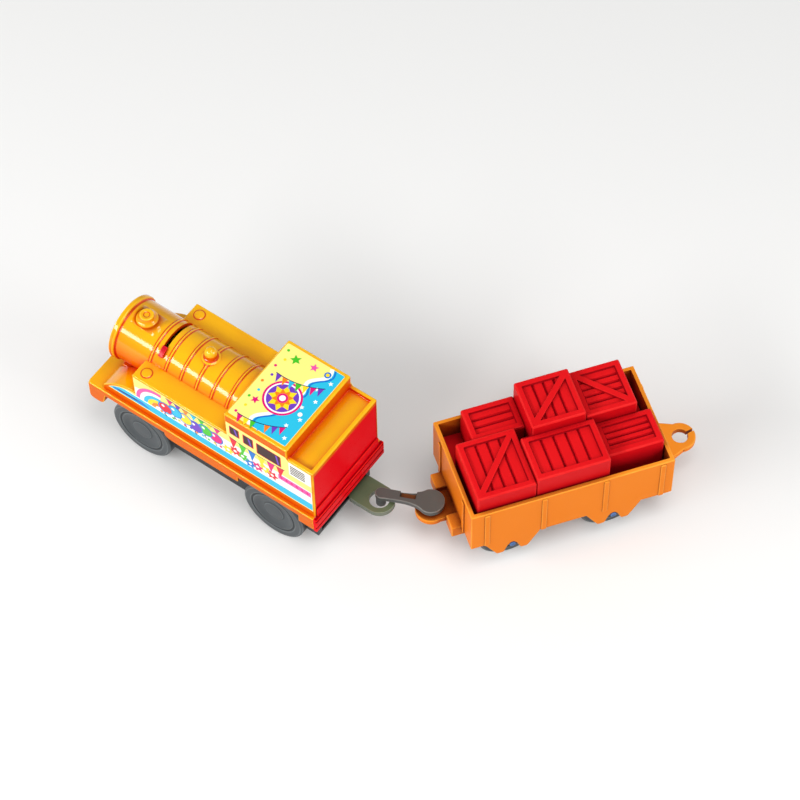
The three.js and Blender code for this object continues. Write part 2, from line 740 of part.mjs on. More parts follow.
// Strips and their slots, the keeper's and the cover's screws
const stripWidth = 4;
const stripRise = 2.3;
const rearStripX = 36.6;
const leafRise = 16.5;
const springStripY = 5.2;
const springStripWidth = 3;
const keeperThickness = 1.2;
const keeperScrewX = 8.6;
const keeperScrewY = 6.4;
const keeperTongueHalfWidth = 2.4;
const coverScrewReach = 5.2;
const coverScrewX = frontAxleX + coverScrewReach;
const smallHeadRadius = 1.8;
const smallShankRadius = 0.8;
const smallHoleRadius = 1;
const smallReach = 4.5;

// The post that carries the switch lever on the boiler's axis
const leverThickness = 1.6;
const postThickness = 1.6;
const postHalfWidth = 3;
const pivotRadius = 1.35;
const leverX = slotX - leverThickness / 2;
const postX = slotX + leverThickness / 2 + fitGap;

function switchPost() {
  const shape = new THREE.Shape();
  shape.moveTo(-postHalfWidth, plateTop - plateThickness / 2);
  shape.lineTo(postHalfWidth, plateTop - plateThickness / 2);
  shape.lineTo(postHalfWidth, boilerZ);
  shape.absarc(0, boilerZ, postHalfWidth, 0, Math.PI, false);
  shape.closePath();
  return joined(
    endSlab(shape, postX, postX + postThickness, 8),
    rod('x', pivotRadius, leverX - fitGap, postX + postThickness / 2, 0, boilerZ, 12),
  );
}

function chassis() {
  const tubTop = plateTop - plateThickness / 2;
  const body = joined(
    block(tubRear, tubFront, -tubHalfWidth, tubHalfWidth, tubBottom, tubTop),
    block(panelThickness + fitGap, tubRear, -tubHalfWidth, tubHalfWidth, hookFloor - fitGap, tubTop),
    block(rearBlockRear, wingFront, -wingHalfWidth, wingHalfWidth, hookFloor - fitGap, wingTop),
    block(wall + fitGap, deckFront - wall - fitGap, -inner + fitGap, inner - fitGap, plateBottom, plateTop),
    switchPost(),
  );
  const gearBayFront = idlerX + pitchRadius(idlerWheelTeeth) + gearModule + gearBayMargin;
  const gearBayRear = Math.min(idlerX - pitchRadius(idlerWheelTeeth), rearAxleX - pitchRadius(axleGearTeeth))
    - gearModule - gearBayMargin;
  const springSlotX = springPlateX - fitGap;
  const reach = tubHalfWidth + overrun;
  const cuts = [
    block(bayRear, bayFront, -bayHalfWidth, bayHalfWidth, tubBottom - overrun, bayTop),
    block(gearBayRear, gearBayFront, gearWallY, tubHalfWidth, tubBottom - overrun, plateTop + overrun),
    rod('y', axleRadius + runningGap, -reach, reach, rearAxleX, wheelRadius),
    rod('y', axleRadius + runningGap, -reach, reach, frontAxleX, wheelRadius),
    rod('y', idlerPinRadius + pressGap, gearWallY - 2 * wall, gearWallY + overrun, idlerX, idlerZ, 12),
    between(motorSection(-fitGap), canRight - capLength - fitGap, canLeft + fitGap),
    block(-overrun, tailRear, -neckHalfWidth - hookTravel - fitGap,
      neckHalfWidth + hookTravel + fitGap, hookFloor - overrun, ringTop + fitGap),
    block(tailRear - fitGap, tailRear + tailLength + fitGap, -tailHalfWidth - hookTravel - fitGap,
      tailHalfWidth + hookTravel + fitGap, hookFloor - overrun, ringTop + fitGap),
    block(rearStripX - fitGap, rearStripX + contactThickness + fitGap, -stripWidth / 2 - fitGap,
      stripWidth / 2 + fitGap, bayTop - overrun, plateTop + overrun),
    block(springSlotX, springSlotX + contactThickness + 2 * fitGap, springStripY - fitGap,
      springStripY + springStripWidth + fitGap, cellZ, plateTop + overrun),
    rod('z', smallHoleRadius, tubBottom - overrun, tubBottom + smallReach + wall, coverScrewX, 0, 12),
  ];
  for (const [x, y] of screwPlaces) {
    const seat = plateBottom - wall;
    cuts.push(rod('z', screwHoleRadius, tubBottom, plateTop + overrun, x, y, 12));
    cuts.push(rod('z', counterboreRadius, tubBottom - overrun, seat, x, y, 16));
  }
  for (const side of [-1, 1]) {
    cuts.push(rod('z', smallHoleRadius, hookFloor - overrun, hookFloor + smallReach, keeperScrewX,
      side * keeperScrewY, 12));
  }
  return cutBy(body, ...cuts);
}
addPiece(loco, 'chassis', chassis(), blackPlastic);

// Gear cover: a thin plate that closes the gear bay beside the left rear wheel
const gearCoverThickness = 0.6;
const gearCoverMargin = 1.2;

function gearCover() {
  const rear = rearAxleX - pitchRadius(axleGearTeeth) - 2 * gearModule - gearCoverMargin;
  const front = idlerX + pitchRadius(idlerWheelTeeth) + 2 * gearModule + gearCoverMargin;
  return cutBy(
    block(rear, front, tubHalfWidth, tubHalfWidth + gearCoverThickness,
      tubBottom + fitGap, plateBottom - fitGap),
    rod('y', axleRadius + runningGap, tubHalfWidth - overrun, tubHalfWidth + overrun,
      rearAxleX, wheelRadius),
    rod('y', idlerPinRadius + pressGap, tubHalfWidth - overrun, tubHalfWidth + overrun,
      idlerX, idlerZ, 12),
  );
}
addPiece(loco, 'gear_cover', gearCover(), blackPlastic);
addPiece(loco, 'idler_pin', rod('y', idlerPinRadius, gearWallY - 2 * wall + fitGap,
  tubHalfWidth + gearCoverThickness, idlerX, idlerZ, 12), steel);

// Battery cover, cell and its two contacts
const coverMargin = 1.5;
const coverHalfWidth = lowGearY - 2 * fitGap;
const coverRear = bayRear - coverMargin;
const coverFront = coverScrewX + smallHeadRadius + coverMargin;

addPiece(loco, 'battery_cover', cutBy(
  block(coverRear, coverFront, -coverHalfWidth, coverHalfWidth, groundGap, tubBottom),
  rod('z', smallHoleRadius, groundGap - overrun, tubBottom + overrun, coverScrewX, 0, 12),
), blackPlastic);

addPiece(loco, 'aa_cell', turned('x', [
  [0, 0], [cellNubRadius, 0], [cellNubRadius, cellNubLength], [cellRadius, cellNubLength],
  [cellRadius, cellNubLength + cellLength], [0, cellNubLength + cellLength],
], cellRear, 0, cellZ, 28), cellSleeve);

function rearContact() {
  const low = cellZ - cellRadius / 2;
  const high = bayTop - contactThickness - fitGap / 2;
  return sideSlab([
    [contactX, low], [contactX + contactThickness, low],
    [contactX + contactThickness, high], [rearStripX, high],
    [rearStripX + contactThickness, high], [rearStripX + contactThickness, plateTop + stripRise],
    [rearStripX, plateTop + stripRise], [rearStripX, high + contactThickness],
    [contactX, high + contactThickness],
  ], -stripWidth / 2, stripWidth / 2);
}
addPiece(loco, 'battery_contact', rearContact(), copper);

// A helix of wire along X between two places, as a curve.
class HelixX extends THREE.Curve {
  constructor(x, length, radius, turns) {
    super();
    Object.assign(this, { x, length, radius, turns });
  }

  getPoint(t, target = new THREE.Vector3()) {
    const angle = 2 * Math.PI * this.turns * t;
    return target.set(this.x + this.length * t, this.radius * Math.cos(angle),
      cellZ + this.radius * Math.sin(angle));
  }
}

const springWire = 0.35;
const springRadius = 3.6;
const springTurns = 3;

function wireSection(radius, sides) {
  const points = [];
  for (let i = 0; i < sides; i += 1) {
    const angle = 2 * Math.PI * i / sides;
    points.push([radius * Math.cos(angle), radius * Math.sin(angle)]);
  }
  return outlineOf(points);
}

function batterySpring() {
  const leafY = springStripY + springStripWidth;
  const coil = solidOf(new THREE.ExtrudeGeometry(wireSection(springWire, 5), {
    extrudePath: new HelixX(springX + springWire, springLength - springWire / 2, springRadius, springTurns),
    steps: 8 * springTurns,
    bevelEnabled: false,
  }));
  const plateHalf = springRadius + 3 * springWire;
  const plate = block(springPlateX, springPlateX + contactThickness, -plateHalf, plateHalf + springWire * 4,
    cellZ - plateHalf, cellZ + plateHalf);
  const strip = block(springPlateX, springPlateX + contactThickness, springStripY, leafY,
    cellZ + fitGap, plateTop + stripRise);
  const leaf = block(slotX - stripWidth / 2, springPlateX + contactThickness,
    leafY - contactThickness, leafY, plateTop + fitGap, plateTop + leafRise);
  return joined(coil, plate, strip, leaf);
}
addPiece(loco, 'battery_spring', batterySpring(), steel);

// Screws: pan heads with a cross recess
const crossLength = 1.7;
const crossWidth = 0.45;
const crossDepth = 0.5;

function panScrew(x, y, seat, headRadius, shankRadius, reach) {
  const head = turned('z', [
    [0, 0], [headRadius * 0.7, 0], [headRadius, screwHeadHeight * 0.5], [headRadius, screwHeadHeight],
    [shankRadius, screwHeadHeight], [shankRadius, screwHeadHeight + reach], [0, screwHeadHeight + reach],
  ], x, y, seat - screwHeadHeight, 12);
  const low = seat - screwHeadHeight;
  return cutBy(head,
    block(x - crossLength / 2, x + crossLength / 2, y - crossWidth / 2, y + crossWidth / 2,
      low - overrun, low + crossDepth),
    block(x - crossWidth / 2, x + crossWidth / 2, y - crossLength / 2, y + crossLength / 2,
      low - overrun, low + crossDepth));
}

const shellScrewNames = ['shell_screw_rear', 'shell_screw_left', 'shell_screw_right'];
screwPlaces.forEach(([x, y], i) => {
  const seat = plateBottom - wall;
  addPiece(loco, shellScrewNames[i], panScrew(x, y, seat, screwHeadRadius, screwShankRadius,
    plateTop + screwReach - seat), steel);
});
addPiece(loco, 'cover_screw', panScrew(coverScrewX, 0, groundGap, smallHeadRadius, smallShankRadius,
  coverThickness + smallReach), steel);

// Hook keeper: the plate that holds the sliding hook's tail in its pocket, with two screws
const keeperTop = hookFloor - fitGap;
const keeperFront = keeperScrewX + smallHeadRadius + fitGap;

function hookKeeper() {
  const bottom = keeperTop - keeperThickness;
  const parts = [block(rearBlockRear, wingFront, -wingHalfWidth, wingHalfWidth, bottom, keeperTop)];
  const holes = [];
  for (const side of [-1, 1]) {
    const y = side * keeperScrewY;
    parts.push(block(wingFront - wall, keeperFront, y - keeperTongueHalfWidth, y + keeperTongueHalfWidth,
      bottom, keeperTop));
    holes.push(rod('z', smallHoleRadius, bottom - overrun, keeperTop + overrun, keeperScrewX, y, 12));
  }
  return cutBy(joined(...parts), ...holes);
}
addPiece(loco, 'hook_keeper', hookKeeper(), blackPlastic);
for (const [name, side] of [['keeper_screw_left', 1], ['keeper_screw_right', -1]]) {
  addPiece(loco, name, panScrew(keeperScrewX, side * keeperScrewY, keeperTop - keeperThickness,
    smallHeadRadius, smallShankRadius, keeperThickness + smallReach - wall), steel);
}

// Axles and wheels. A wheel's outer face steps down from the tread to a dished web and a hub.
const rimShare = 0.73;
const hubShare = 0.4;
const chamferShare = 0.16;
const webShare = 0.76;
const hubWidthShare = 0.9;

function wheelProfile(radius, width, bore, tyreDepth) {
  const rimInner = radius * rimShare;
  const hub = radius * hubShare;
  const chamfer = width * chamferShare;
  const tread = tyreDepth > 0
    ? [[radius, 0], [radius, chamfer], [radius - tyreDepth, chamfer],
      [radius - tyreDepth, width - 2 * chamfer], [radius, width - 2 * chamfer], [radius, width - chamfer]]
    : [[radius, 0], [radius, width - chamfer]];
  return [
    [bore, 0], ...tread,
    [radius - chamfer, width], [rimInner, width], [rimInner - chamfer, width * webShare],
    [hub, width * webShare], [hub - chamfer, width * hubWidthShare],
    [bore, width * hubWidthShare], [bore, 0],
  ];
}

const tyreDepth = 1;
const tyreGap = 0.1;

function addWheel(parent, name, side, x, z, radius, width, innerY, bore, depth, sides) {
  const wheel = turned('y', wheelProfile(radius, width, bore, depth), x, innerY, z, sides);
  addPiece(parent, name, side > 0 ? wheel : mirrorY(wheel), greyPlastic);
}

for (const [name, side] of [['left', 1], ['right', -1]]) {
  addWheel(loco, `rear_wheel_${name}`, side, rearAxleX, wheelRadius, wheelRadius, wheelWidth, wheelInnerY,
    axleRadius + pressGap, tyreDepth, 32);
  addWheel(loco, `front_wheel_${name}`, side, frontAxleX, wheelRadius, wheelRadius, wheelWidth, wheelInnerY,
    axleRadius + pressGap, 0, 32);
  const chamfer = wheelWidth * chamferShare;
  const low = wheelInnerY + chamfer + tyreGap;
  const high = wheelInnerY + wheelWidth - 2 * chamfer - tyreGap;
  const tyre = turned('y', [
    [wheelRadius - tyreDepth + tyreGap, low], [wheelRadius, low], [wheelRadius, high],
    [wheelRadius - tyreDepth + tyreGap, high], [wheelRadius - tyreDepth + tyreGap, low],
  ], rearAxleX, 0, wheelRadius, 32);
  addPiece(loco, `rear_tyre_${name}`, side > 0 ? tyre : mirrorY(tyre), rubber);
}
const axleReach = wheelInnerY + wheelWidth * hubWidthShare;
addPiece(loco, 'rear_axle', rod('y', axleRadius, -axleReach, axleReach, rearAxleX, wheelRadius), steel);
addPiece(loco, 'front_axle', rod('y', axleRadius, -axleReach, axleReach, frontAxleX, wheelRadius), steel);

// Switch: a lever that turns on the boiler's axis, a red tab on it outside, and a spring leaf
const leverHubRadius = 3.4;
const leverArmHalfWidth = 1.7;
const neckThickness = slotWidth - 2 * fitGap;
const tabHalfAngle = 10;
const tabWidth = 2;
const tabShift = 0.3;
const tabHeight = 1;
const tabGap = 0.25;
const tabAngle = slotStart + tabHalfAngle + 1;
const leverTailAngle = -100;
const leverTail = 7;
const leafGap = 0.5;

function leverArm(angle, inner0, outer0, halfWidth, x0, x1) {
  const along = new THREE.Vector2(Math.cos(angle), Math.sin(angle));
  const points = [[inner0, -halfWidth], [outer0, -halfWidth], [outer0, halfWidth], [inner0, halfWidth]];
  const turnedPoints = points.map(([r, s]) => [
    r * along.x - s * along.y, boilerZ + r * along.y + s * along.x,
  ]);
  return endSlab(turnedPoints, x0, x1);
}

function switchLever() {
  const neckIn = boilerBore - 3 * fitGap;
  return joined(
    rod('x', leverHubRadius, leverX, leverX + leverThickness, 0, boilerZ, 20),
    leverArm(radians(tabAngle), 0, neckIn, leverArmHalfWidth, leverX, leverX + leverThickness),
    leverArm(radians(tabAngle), neckIn - wall, boilerRadius + tabGap + tabHeight / 2, leverArmHalfWidth / 2,
      slotX - neckThickness / 2, slotX + neckThickness / 2),
    leverArm(radians(leverTailAngle), 0, leverTail, leverArmHalfWidth / 2, leverX, leverX + leverThickness),
  ).subtract(rod('x', pivotRadius + runningGap, leverX - overrun, leverX + leverThickness + overrun,
    0, boilerZ, 12));
}
addPiece(loco, 'switch_lever', switchLever(), blackPlastic);

function switchTab() {
  const low = boilerRadius + tabGap;
  const head = endSlab(sector(0, boilerZ, low, low + tabHeight, radians(tabAngle - tabHalfAngle),
    radians(tabAngle + tabHalfAngle)), slotX - tabShift - tabWidth / 2, slotX - tabShift + tabWidth / 2, 5);
  const neck = leverArm(radians(tabAngle), low - overrun, low + tabHeight / 2 + pressGap,
    leverArmHalfWidth / 2 + pressGap,
    slotX - neckThickness / 2 - pressGap, slotX + neckThickness / 2 + pressGap);
  return head.subtract(neck);
}
addPiece(loco, 'switch_tab', switchTab(), red);

function switchLeaf() {
  const y = springStripY + springStripWidth - contactThickness - leafGap - contactThickness;
  const foot = stripWidth;
  return endSlab([
    [y - foot, plateTop], [y + contactThickness, plateTop], [y + contactThickness, plateTop + leafRise],
    [y, plateTop + leafRise], [y, plateTop + contactThickness], [y - foot, plateTop + contactThickness],
  ], slotX - stripWidth / 2 - leverThickness, slotX + stripWidth / 2 - leverThickness);
}
addPiece(loco, 'switch_leaf', switchLeaf(), copper);

// Leads: thin insulated wires, from strip to motor and from motor to switch leaf
const leadRadius = 0.5;
const leadSides = 6;

function lead(points, steps) {
  const route = new THREE.CatmullRomCurve3(points.map(([x, y, z]) => new THREE.Vector3(x, y, z)));
  return solidOf(new THREE.ExtrudeGeometry(wireSection(leadRadius, leadSides), {
    extrudePath: route, steps, bevelEnabled: false,
  }));
}

const terminalTop = motorZ + canHalfHeight - capInset + terminalHeight + fitGap;
const terminalY = canRight - capLength + fitGap + terminalLength / 2;
const leadRoom = 2.5;
addPiece(loco, 'lead_battery', lead([
  [rearStripX + contactThickness / 2, 0, plateTop + stripRise + fitGap],
  [rearStripX + contactThickness / 2, -leadRoom / 2, plateTop + 2 * stripRise],
  [motorX + canRadius + leadRoom, 2 * terminalY / 3, motorZ],
  [motorX + canRadius, terminalY, motorZ + canHalfHeight],
  [motorX + terminalSpacing / 2 + leadRoom / 2, terminalY, terminalTop + leadRoom / 2],
  [motorX + terminalSpacing / 2, terminalY, terminalTop],
], 20), redWire);
addPiece(loco, 'lead_switch', lead([
  [motorX - terminalSpacing / 2, terminalY, terminalTop],
  [motorX - terminalSpacing / 2 + leadRoom / 2, terminalY, terminalTop + leadRoom],
  [motorX + canRadius, terminalY, terminalTop + leadRoom],
  [(motorX + slotX) / 2, terminalY, motorZ],
  [slotX - 5 * stripWidth, terminalY / 2, plateTop + 2 * leadRoom],
  [slotX - 3 * stripWidth, 0, plateTop + leadRoom],
  [slotX - leverThickness - stripWidth / 2 - fitGap - leadRadius, springStripY - stripWidth / 2,
    plateTop + leadRadius + fitGap],
], 24), blackPlastic);

// Rear hook: a C-shaped eye on a block that slides sideways in the chassis
const hookHoleRadius = 3.8;
const hookRingRadius = 6;
const hookX = -8.6;
const hookY = -7.6;
const hookBlockHalfWidth = 5.9;
const hookBlockFront = 1.5;
const hookCorner = 1.2;
const mouthFrom = 201;
const mouthTo = 240;

function mouth(x, y, reach, fromDegrees, toDegrees) {
  const points = [[x, y]];
  for (const degrees of [fromDegrees, (fromDegrees + toDegrees) / 2, toDegrees]) {
    points.push([x + reach * Math.cos(radians(degrees)), y + reach * Math.sin(radians(degrees))]);
  }
  return points;
}

function rearHook() {
  const shape = new THREE.Shape();
  shape.moveTo(hookX, hookY - hookBlockHalfWidth);
  shape.lineTo(hookBlockFront - hookCorner, hookY - hookBlockHalfWidth);
  shape.quadraticCurveTo(hookBlockFront, hookY - hookBlockHalfWidth,
    hookBlockFront, hookY - hookBlockHalfWidth + hookCorner);
  shape.lineTo(hookBlockFront, hookY + hookBlockHalfWidth - hookCorner);
  shape.quadraticCurveTo(hookBlockFront, hookY + hookBlockHalfWidth,
    hookBlockFront - hookCorner, hookY + hookBlockHalfWidth);
  shape.lineTo(hookX, hookY + hookBlockHalfWidth);
  const neck = block(hookBlockFront - wall, tailRear + tailLength / 2, hookY - neckHalfWidth,
    hookY + neckHalfWidth, hookFloor, ringTop);
  const tail = block(tailRear, tailRear + tailLength, hookY - tailHalfWidth, hookY + tailHalfWidth,
    hookFloor, ringTop);
  return cutBy(
    joined(planSlab(shape, hookFloor, ringTop, 4),
      rod('z', hookRingRadius, hookFloor, ringTop, hookX, hookY, 28), neck, tail),
    rod('z', hookHoleRadius, hookFloor - overrun, ringTop + overrun, hookX, hookY, 24),
    planSlab(mouth(hookX, hookY, 2 * hookRingRadius, mouthFrom, mouthTo),
      hookFloor - overrun, ringTop + overrun),
  );
}
addPiece(loco, 'rear_hook', rearHook(), oliveGrey);

// Coupling link: a bar with a peg for the hook at one end and a disc over the wagon's ring
const linkAngle = 24;
const linkLength = 19.2;
const linkNoseRadius = 2.5;
const pegRadius = 2.2;
const linkWaist = 2.1;
const linkFlare = 4.2;
const linkDiscRadius = 5.1;
const linkRecessDepth = 0.9;
const linkRecessLength = 6.6;
const linkRecessStart = 7;
const linkRecessEdge = 0.5;
const bossRadius = 3.9;
const pinRadius = 1.45;
const pinShoulderRadius = 2.6;
const pinTail = 0.9;

const linkFrame = new THREE.Group();
linkFrame.position.set(hookX, hookY, 0);
linkFrame.rotation.z = radians(linkAngle);
loco.add(linkFrame);

function couplingLink() {
  const top = linkBottom + linkThickness;
  const discEdge = linkLength - linkDiscRadius;
  const flareX = linkLength - linkDiscRadius / 2;
  const barShape = new THREE.Shape();
  barShape.moveTo(0, -linkNoseRadius);
  barShape.quadraticCurveTo(-discEdge / 4, -linkWaist, -discEdge / 2, -linkWaist);
  barShape.quadraticCurveTo(-discEdge, -linkWaist, -flareX, -linkFlare);
  barShape.lineTo(-flareX, linkFlare);
  barShape.quadraticCurveTo(-discEdge, linkWaist, -discEdge / 2, linkWaist);
  barShape.quadraticCurveTo(-discEdge / 4, linkWaist, 0, linkNoseRadius);
  return cutBy(
    joined(
      planSlab(barShape, linkBottom, top, 5),
      rod('z', linkNoseRadius, linkBottom, top, 0, 0, 20),
      rod('z', linkDiscRadius, linkBottom, top, -linkLength, 0, 32),
      rod('z', bossRadius, ringTop + fitGap, linkBottom + linkThickness / 2, -linkLength, 0, 24),
      rod('z', pegRadius, hookFloor, linkBottom + linkThickness / 2, 0, 0, 16),
    ),
    block(-linkRecessStart - linkRecessLength, -linkRecessStart, -linkFlare - overrun, linkRecessEdge,
      top - linkRecessDepth, top + overrun),
    rod('z', pinRadius + pressGap, hookFloor, linkBottom + linkThickness * 0.5, -linkLength, 0, 12),
  );
}
addPiece(linkFrame, 'coupling_link', couplingLink(), oliveGrey);
addPiece(linkFrame, 'link_pin', turned('z', [
  [0, hookFloor - pinTail], [pinShoulderRadius, hookFloor - pinTail], [pinShoulderRadius, ringTop],
  [pinRadius, ringTop], [pinRadius, linkBottom + linkThickness * 0.3], [0, linkBottom + linkThickness * 0.3],
], -linkLength, 0, 0, smallSides), oliveGrey);

// Wagon frame: its front ring lies under the link's disc
const ringReach = 8;
const wagonAngle = 53.7;
const frontRingX = wagonLength + ringReach;
const rearRingReach = 11.5;
const wagon = new THREE.Group();
const ringPlace = new THREE.Vector2(-linkLength, 0).rotateAround(new THREE.Vector2(), radians(linkAngle))
  .add(new THREE.Vector2(hookX, hookY));
const backFromRing = new THREE.Vector2(frontRingX, 0).rotateAround(new THREE.Vector2(), radians(wagonAngle));
wagon.position.set(ringPlace.x - backFromRing.x, ringPlace.y - backFromRing.y, 0);
wagon.rotation.z = radians(wagonAngle);
loco.add(wagon);

// Wagon tray: an open box on a high floor, with W-shaped axle guards and a ring at each end
const sideBottom = 15.6;
const guardDrop = 8.4;
const guardHalfTop = 10.6;
const guardHalfLow = 4.6;
const guardFlat = 1.3;
const rearGuardX = 22.6;
const frontGuardInset = 16;
const guardXs = [rearGuardX, wagonLength - frontGuardInset];
const wagonFloorThickness = 1.4;
const wagonAxleZ = wagonWheelRadius;
const ribWidth = 2.1;
const ribProud = 0.6;
const ribShares = [0.058, 0.338, 0.642, 0.921];
const ribDrop = 1.6;
const ringRadius = 5.9;
const rearFootHalfWidth = 10.5;
const ringWebDepth = 4;
const stubReach = 4.2;
const stubInnerY = 5.8;
const stubWidth = 6.6;
const stubTop = 17.6;
const stubDepth = 5.6;
const beamHalfWidth = stubInnerY + stubWidth;
const endRibInset = 8.6;
const endRibY = wagonHalfWidth - endRibInset;
const slitWidth = 1;
const slitAngle = 191;

function guardOutline(x) {
  const low = sideBottom - guardDrop;
  return [
    [x - guardHalfTop, sideBottom + wall], [x - guardHalfTop, sideBottom],
    [x - guardHalfLow - guardFlat, low], [x - guardHalfLow + guardFlat, low],
    [x - wagonAxleRadius - 2 * runningGap, wagonAxleZ],
    [x + wagonAxleRadius + 2 * runningGap, wagonAxleZ],
    [x + guardHalfLow - guardFlat, low], [x + guardHalfLow + guardFlat, low],
    [x + guardHalfTop, sideBottom], [x + guardHalfTop, sideBottom + wall],
  ];
}

function couplingRing(x, direction, footHalfWidth) {
  const wallX = direction > 0 ? wagonLength : 0;
  const shape = new THREE.Shape();
  shape.moveTo(wallX - direction * ringWebDepth, -footHalfWidth);
  shape.lineTo(wallX, -footHalfWidth);
  shape.lineTo(x, -ringRadius);
  shape.lineTo(x, ringRadius);
  shape.lineTo(wallX, footHalfWidth);
  shape.lineTo(wallX - direction * ringWebDepth, footHalfWidth);
  return cutBy(
    joined(planSlab(shape, hookFloor, ringTop, 4), rod('z', ringRadius, hookFloor, ringTop, x, 0, 28)),
    rod('z', ringHoleRadius, hookFloor - overrun, ringTop + overrun, x, 0, 20),
  );
}

function wagonTray() {
  const floorBottom = wagonFloor - wagonFloorThickness;
  const innerX = wagonLength - wagonWall;
  const innerY = wagonHalfWidth - wagonWall;
  const parts = [
    block(0, wagonLength, -wagonHalfWidth, wagonHalfWidth, sideBottom, wagonRim),
    couplingRing(frontRingX, 1, ringRadius),
    couplingRing(-rearRingReach, -1, rearFootHalfWidth),
  ];
  for (const side of [-1, 1]) {
    const from = side > 0 ? innerY : -wagonHalfWidth;
    const to = side > 0 ? wagonHalfWidth : -innerY;
    for (const x of guardXs) parts.push(sideSlab(guardOutline(x), from, to));
    for (const share of ribShares) {
      const x = share * wagonLength;
      const outer = side * (wagonHalfWidth + ribProud);
      const root = side * (wagonHalfWidth - wagonWall / 2);
      parts.push(block(x - ribWidth / 2, x + ribWidth / 2, Math.min(root, outer), Math.max(root, outer),
        sideBottom, wagonRim - ribDrop));
    }
    const ends = [[-ribProud, wagonWall / 2], [wagonLength - wagonWall / 2, wagonLength + ribProud]];
    for (const [x0, x1] of ends) {
      parts.push(block(x0, x1, side * endRibY - ribWidth / 2, side * endRibY + ribWidth / 2,
        sideBottom, wagonRim - ribDrop));
    }
    const stubY = side > 0 ? stubInnerY : -stubInnerY - stubWidth;
    parts.push(block(wagonLength - wagonWall / 2, wagonLength + stubReach, stubY, stubY + stubWidth,
      stubTop - stubDepth, stubTop));
  }
  for (const [x0, x1] of [[0, wagonWall], [innerX, wagonLength]]) {
    parts.push(block(x0, x1, -beamHalfWidth, beamHalfWidth, stubTop - stubDepth, sideBottom + wall));
  }
  const slitX = -rearRingReach;
  const along = new THREE.Vector2(Math.cos(radians(slitAngle)), Math.sin(radians(slitAngle)));
  const slit = [[0, -1], [2, -1], [2, 1], [0, 1]].map(([reach, edge]) => [
    slitX + reach * ringRadius * along.x - edge * slitWidth / 2 * along.y,
    reach * ringRadius * along.y + edge * slitWidth / 2 * along.x,
  ]);
  const cuts = [
    block(wagonWall, innerX, -innerY, innerY, wagonFloor, wagonRim + overrun),
    block(wagonWall, innerX, -innerY, innerY, sideBottom - overrun, floorBottom)
      .subtract(block(-overrun, ringWebDepth, -rearFootHalfWidth, rearFootHalfWidth, 0, ringTop))
      .subtract(block(wagonLength - ringWebDepth, wagonLength + overrun, -ringRadius,
        ringRadius, 0, ringTop)),
    planSlab(slit, hookFloor - overrun, ringTop + overrun),
  ];
  for (const x of guardXs) {
    cuts.push(rod('y', wagonAxleRadius + runningGap, -wagonHalfWidth - overrun, wagonHalfWidth + overrun,
      x, wagonAxleZ));
  }
  return cutBy(joined(...parts), ...cuts);
}
addPiece(wagon, 'wagon_tray', wagonTray(), wagonOrange);

// Wagon wheels and axles
const wagonWheelWidth = 4;
const wagonWheelGap = 2.3;
const wagonWheelInnerY = wagonHalfWidth - wagonWall - wagonWheelGap - wagonWheelWidth;
const wagonAxleReach = wagonHalfWidth - fitGap;
['rear', 'front'].forEach((end, i) => {
  const x = guardXs[i];
  addPiece(wagon, `wagon_${end}_axle`, rod('y', wagonAxleRadius, -wagonAxleReach, wagonAxleReach,
    x, wagonAxleZ), blackPlastic);
  for (const [name, side] of [['left', 1], ['right', -1]]) {
    addWheel(wagon, `wagon_${end}_wheel_${name}`, side, x, wagonAxleZ, wagonWheelRadius, wagonWheelWidth,
      wagonWheelInnerY, wagonAxleRadius + pressGap, 0, 26);
  }
});

// Crate load: six crates of different heights in one moulding. Each crate's place and size are
// shares of the load's length, width and height.
const loadBase = 3;
const loadHeight = 26.2;
const loadInset = wagonWall + 2 * fitGap;
const loadLength = wagonLength - 2 * loadInset;
const loadWidth = 2 * (wagonHalfWidth - loadInset);
const panelDepth = 0.8;
const frameWidth = 2.3;
const slatGroove = 0.6;
const crateShares = {
  farFront: { x: 0.6226, y: 0, long: 0.2752, wide: 0.3615, high: 0.695, slats: 3, along: 'x', brace: 0 },
  farMiddle: { x: 0.3392, y: 0, long: 0.2834, wide: 0.5256, high: 1, slats: 4, along: 'y', brace: 1 },
  farRear: { x: 0.0695, y: 0, long: 0.2697, wide: 0.515, high: 0.87, slats: 3, along: 'x', brace: -1 },
  nearFront: {
    x: 0.6826, y: 0.3564, long: 0.3052, wide: 0.6436, high: 0.744, slats: 4, along: 'y', brace: 1,
  },
  nearMiddle: {
    x: 0.3011, y: 0.5154, long: 0.3815, wide: 0.4846, high: 0.817, slats: 5, along: 'y', brace: 0,
  },
  nearRear: { x: 0, y: 0.5154, long: 0.3011, wide: 0.3795, high: 0.649, slats: 4, along: 'x', brace: 0 },
};

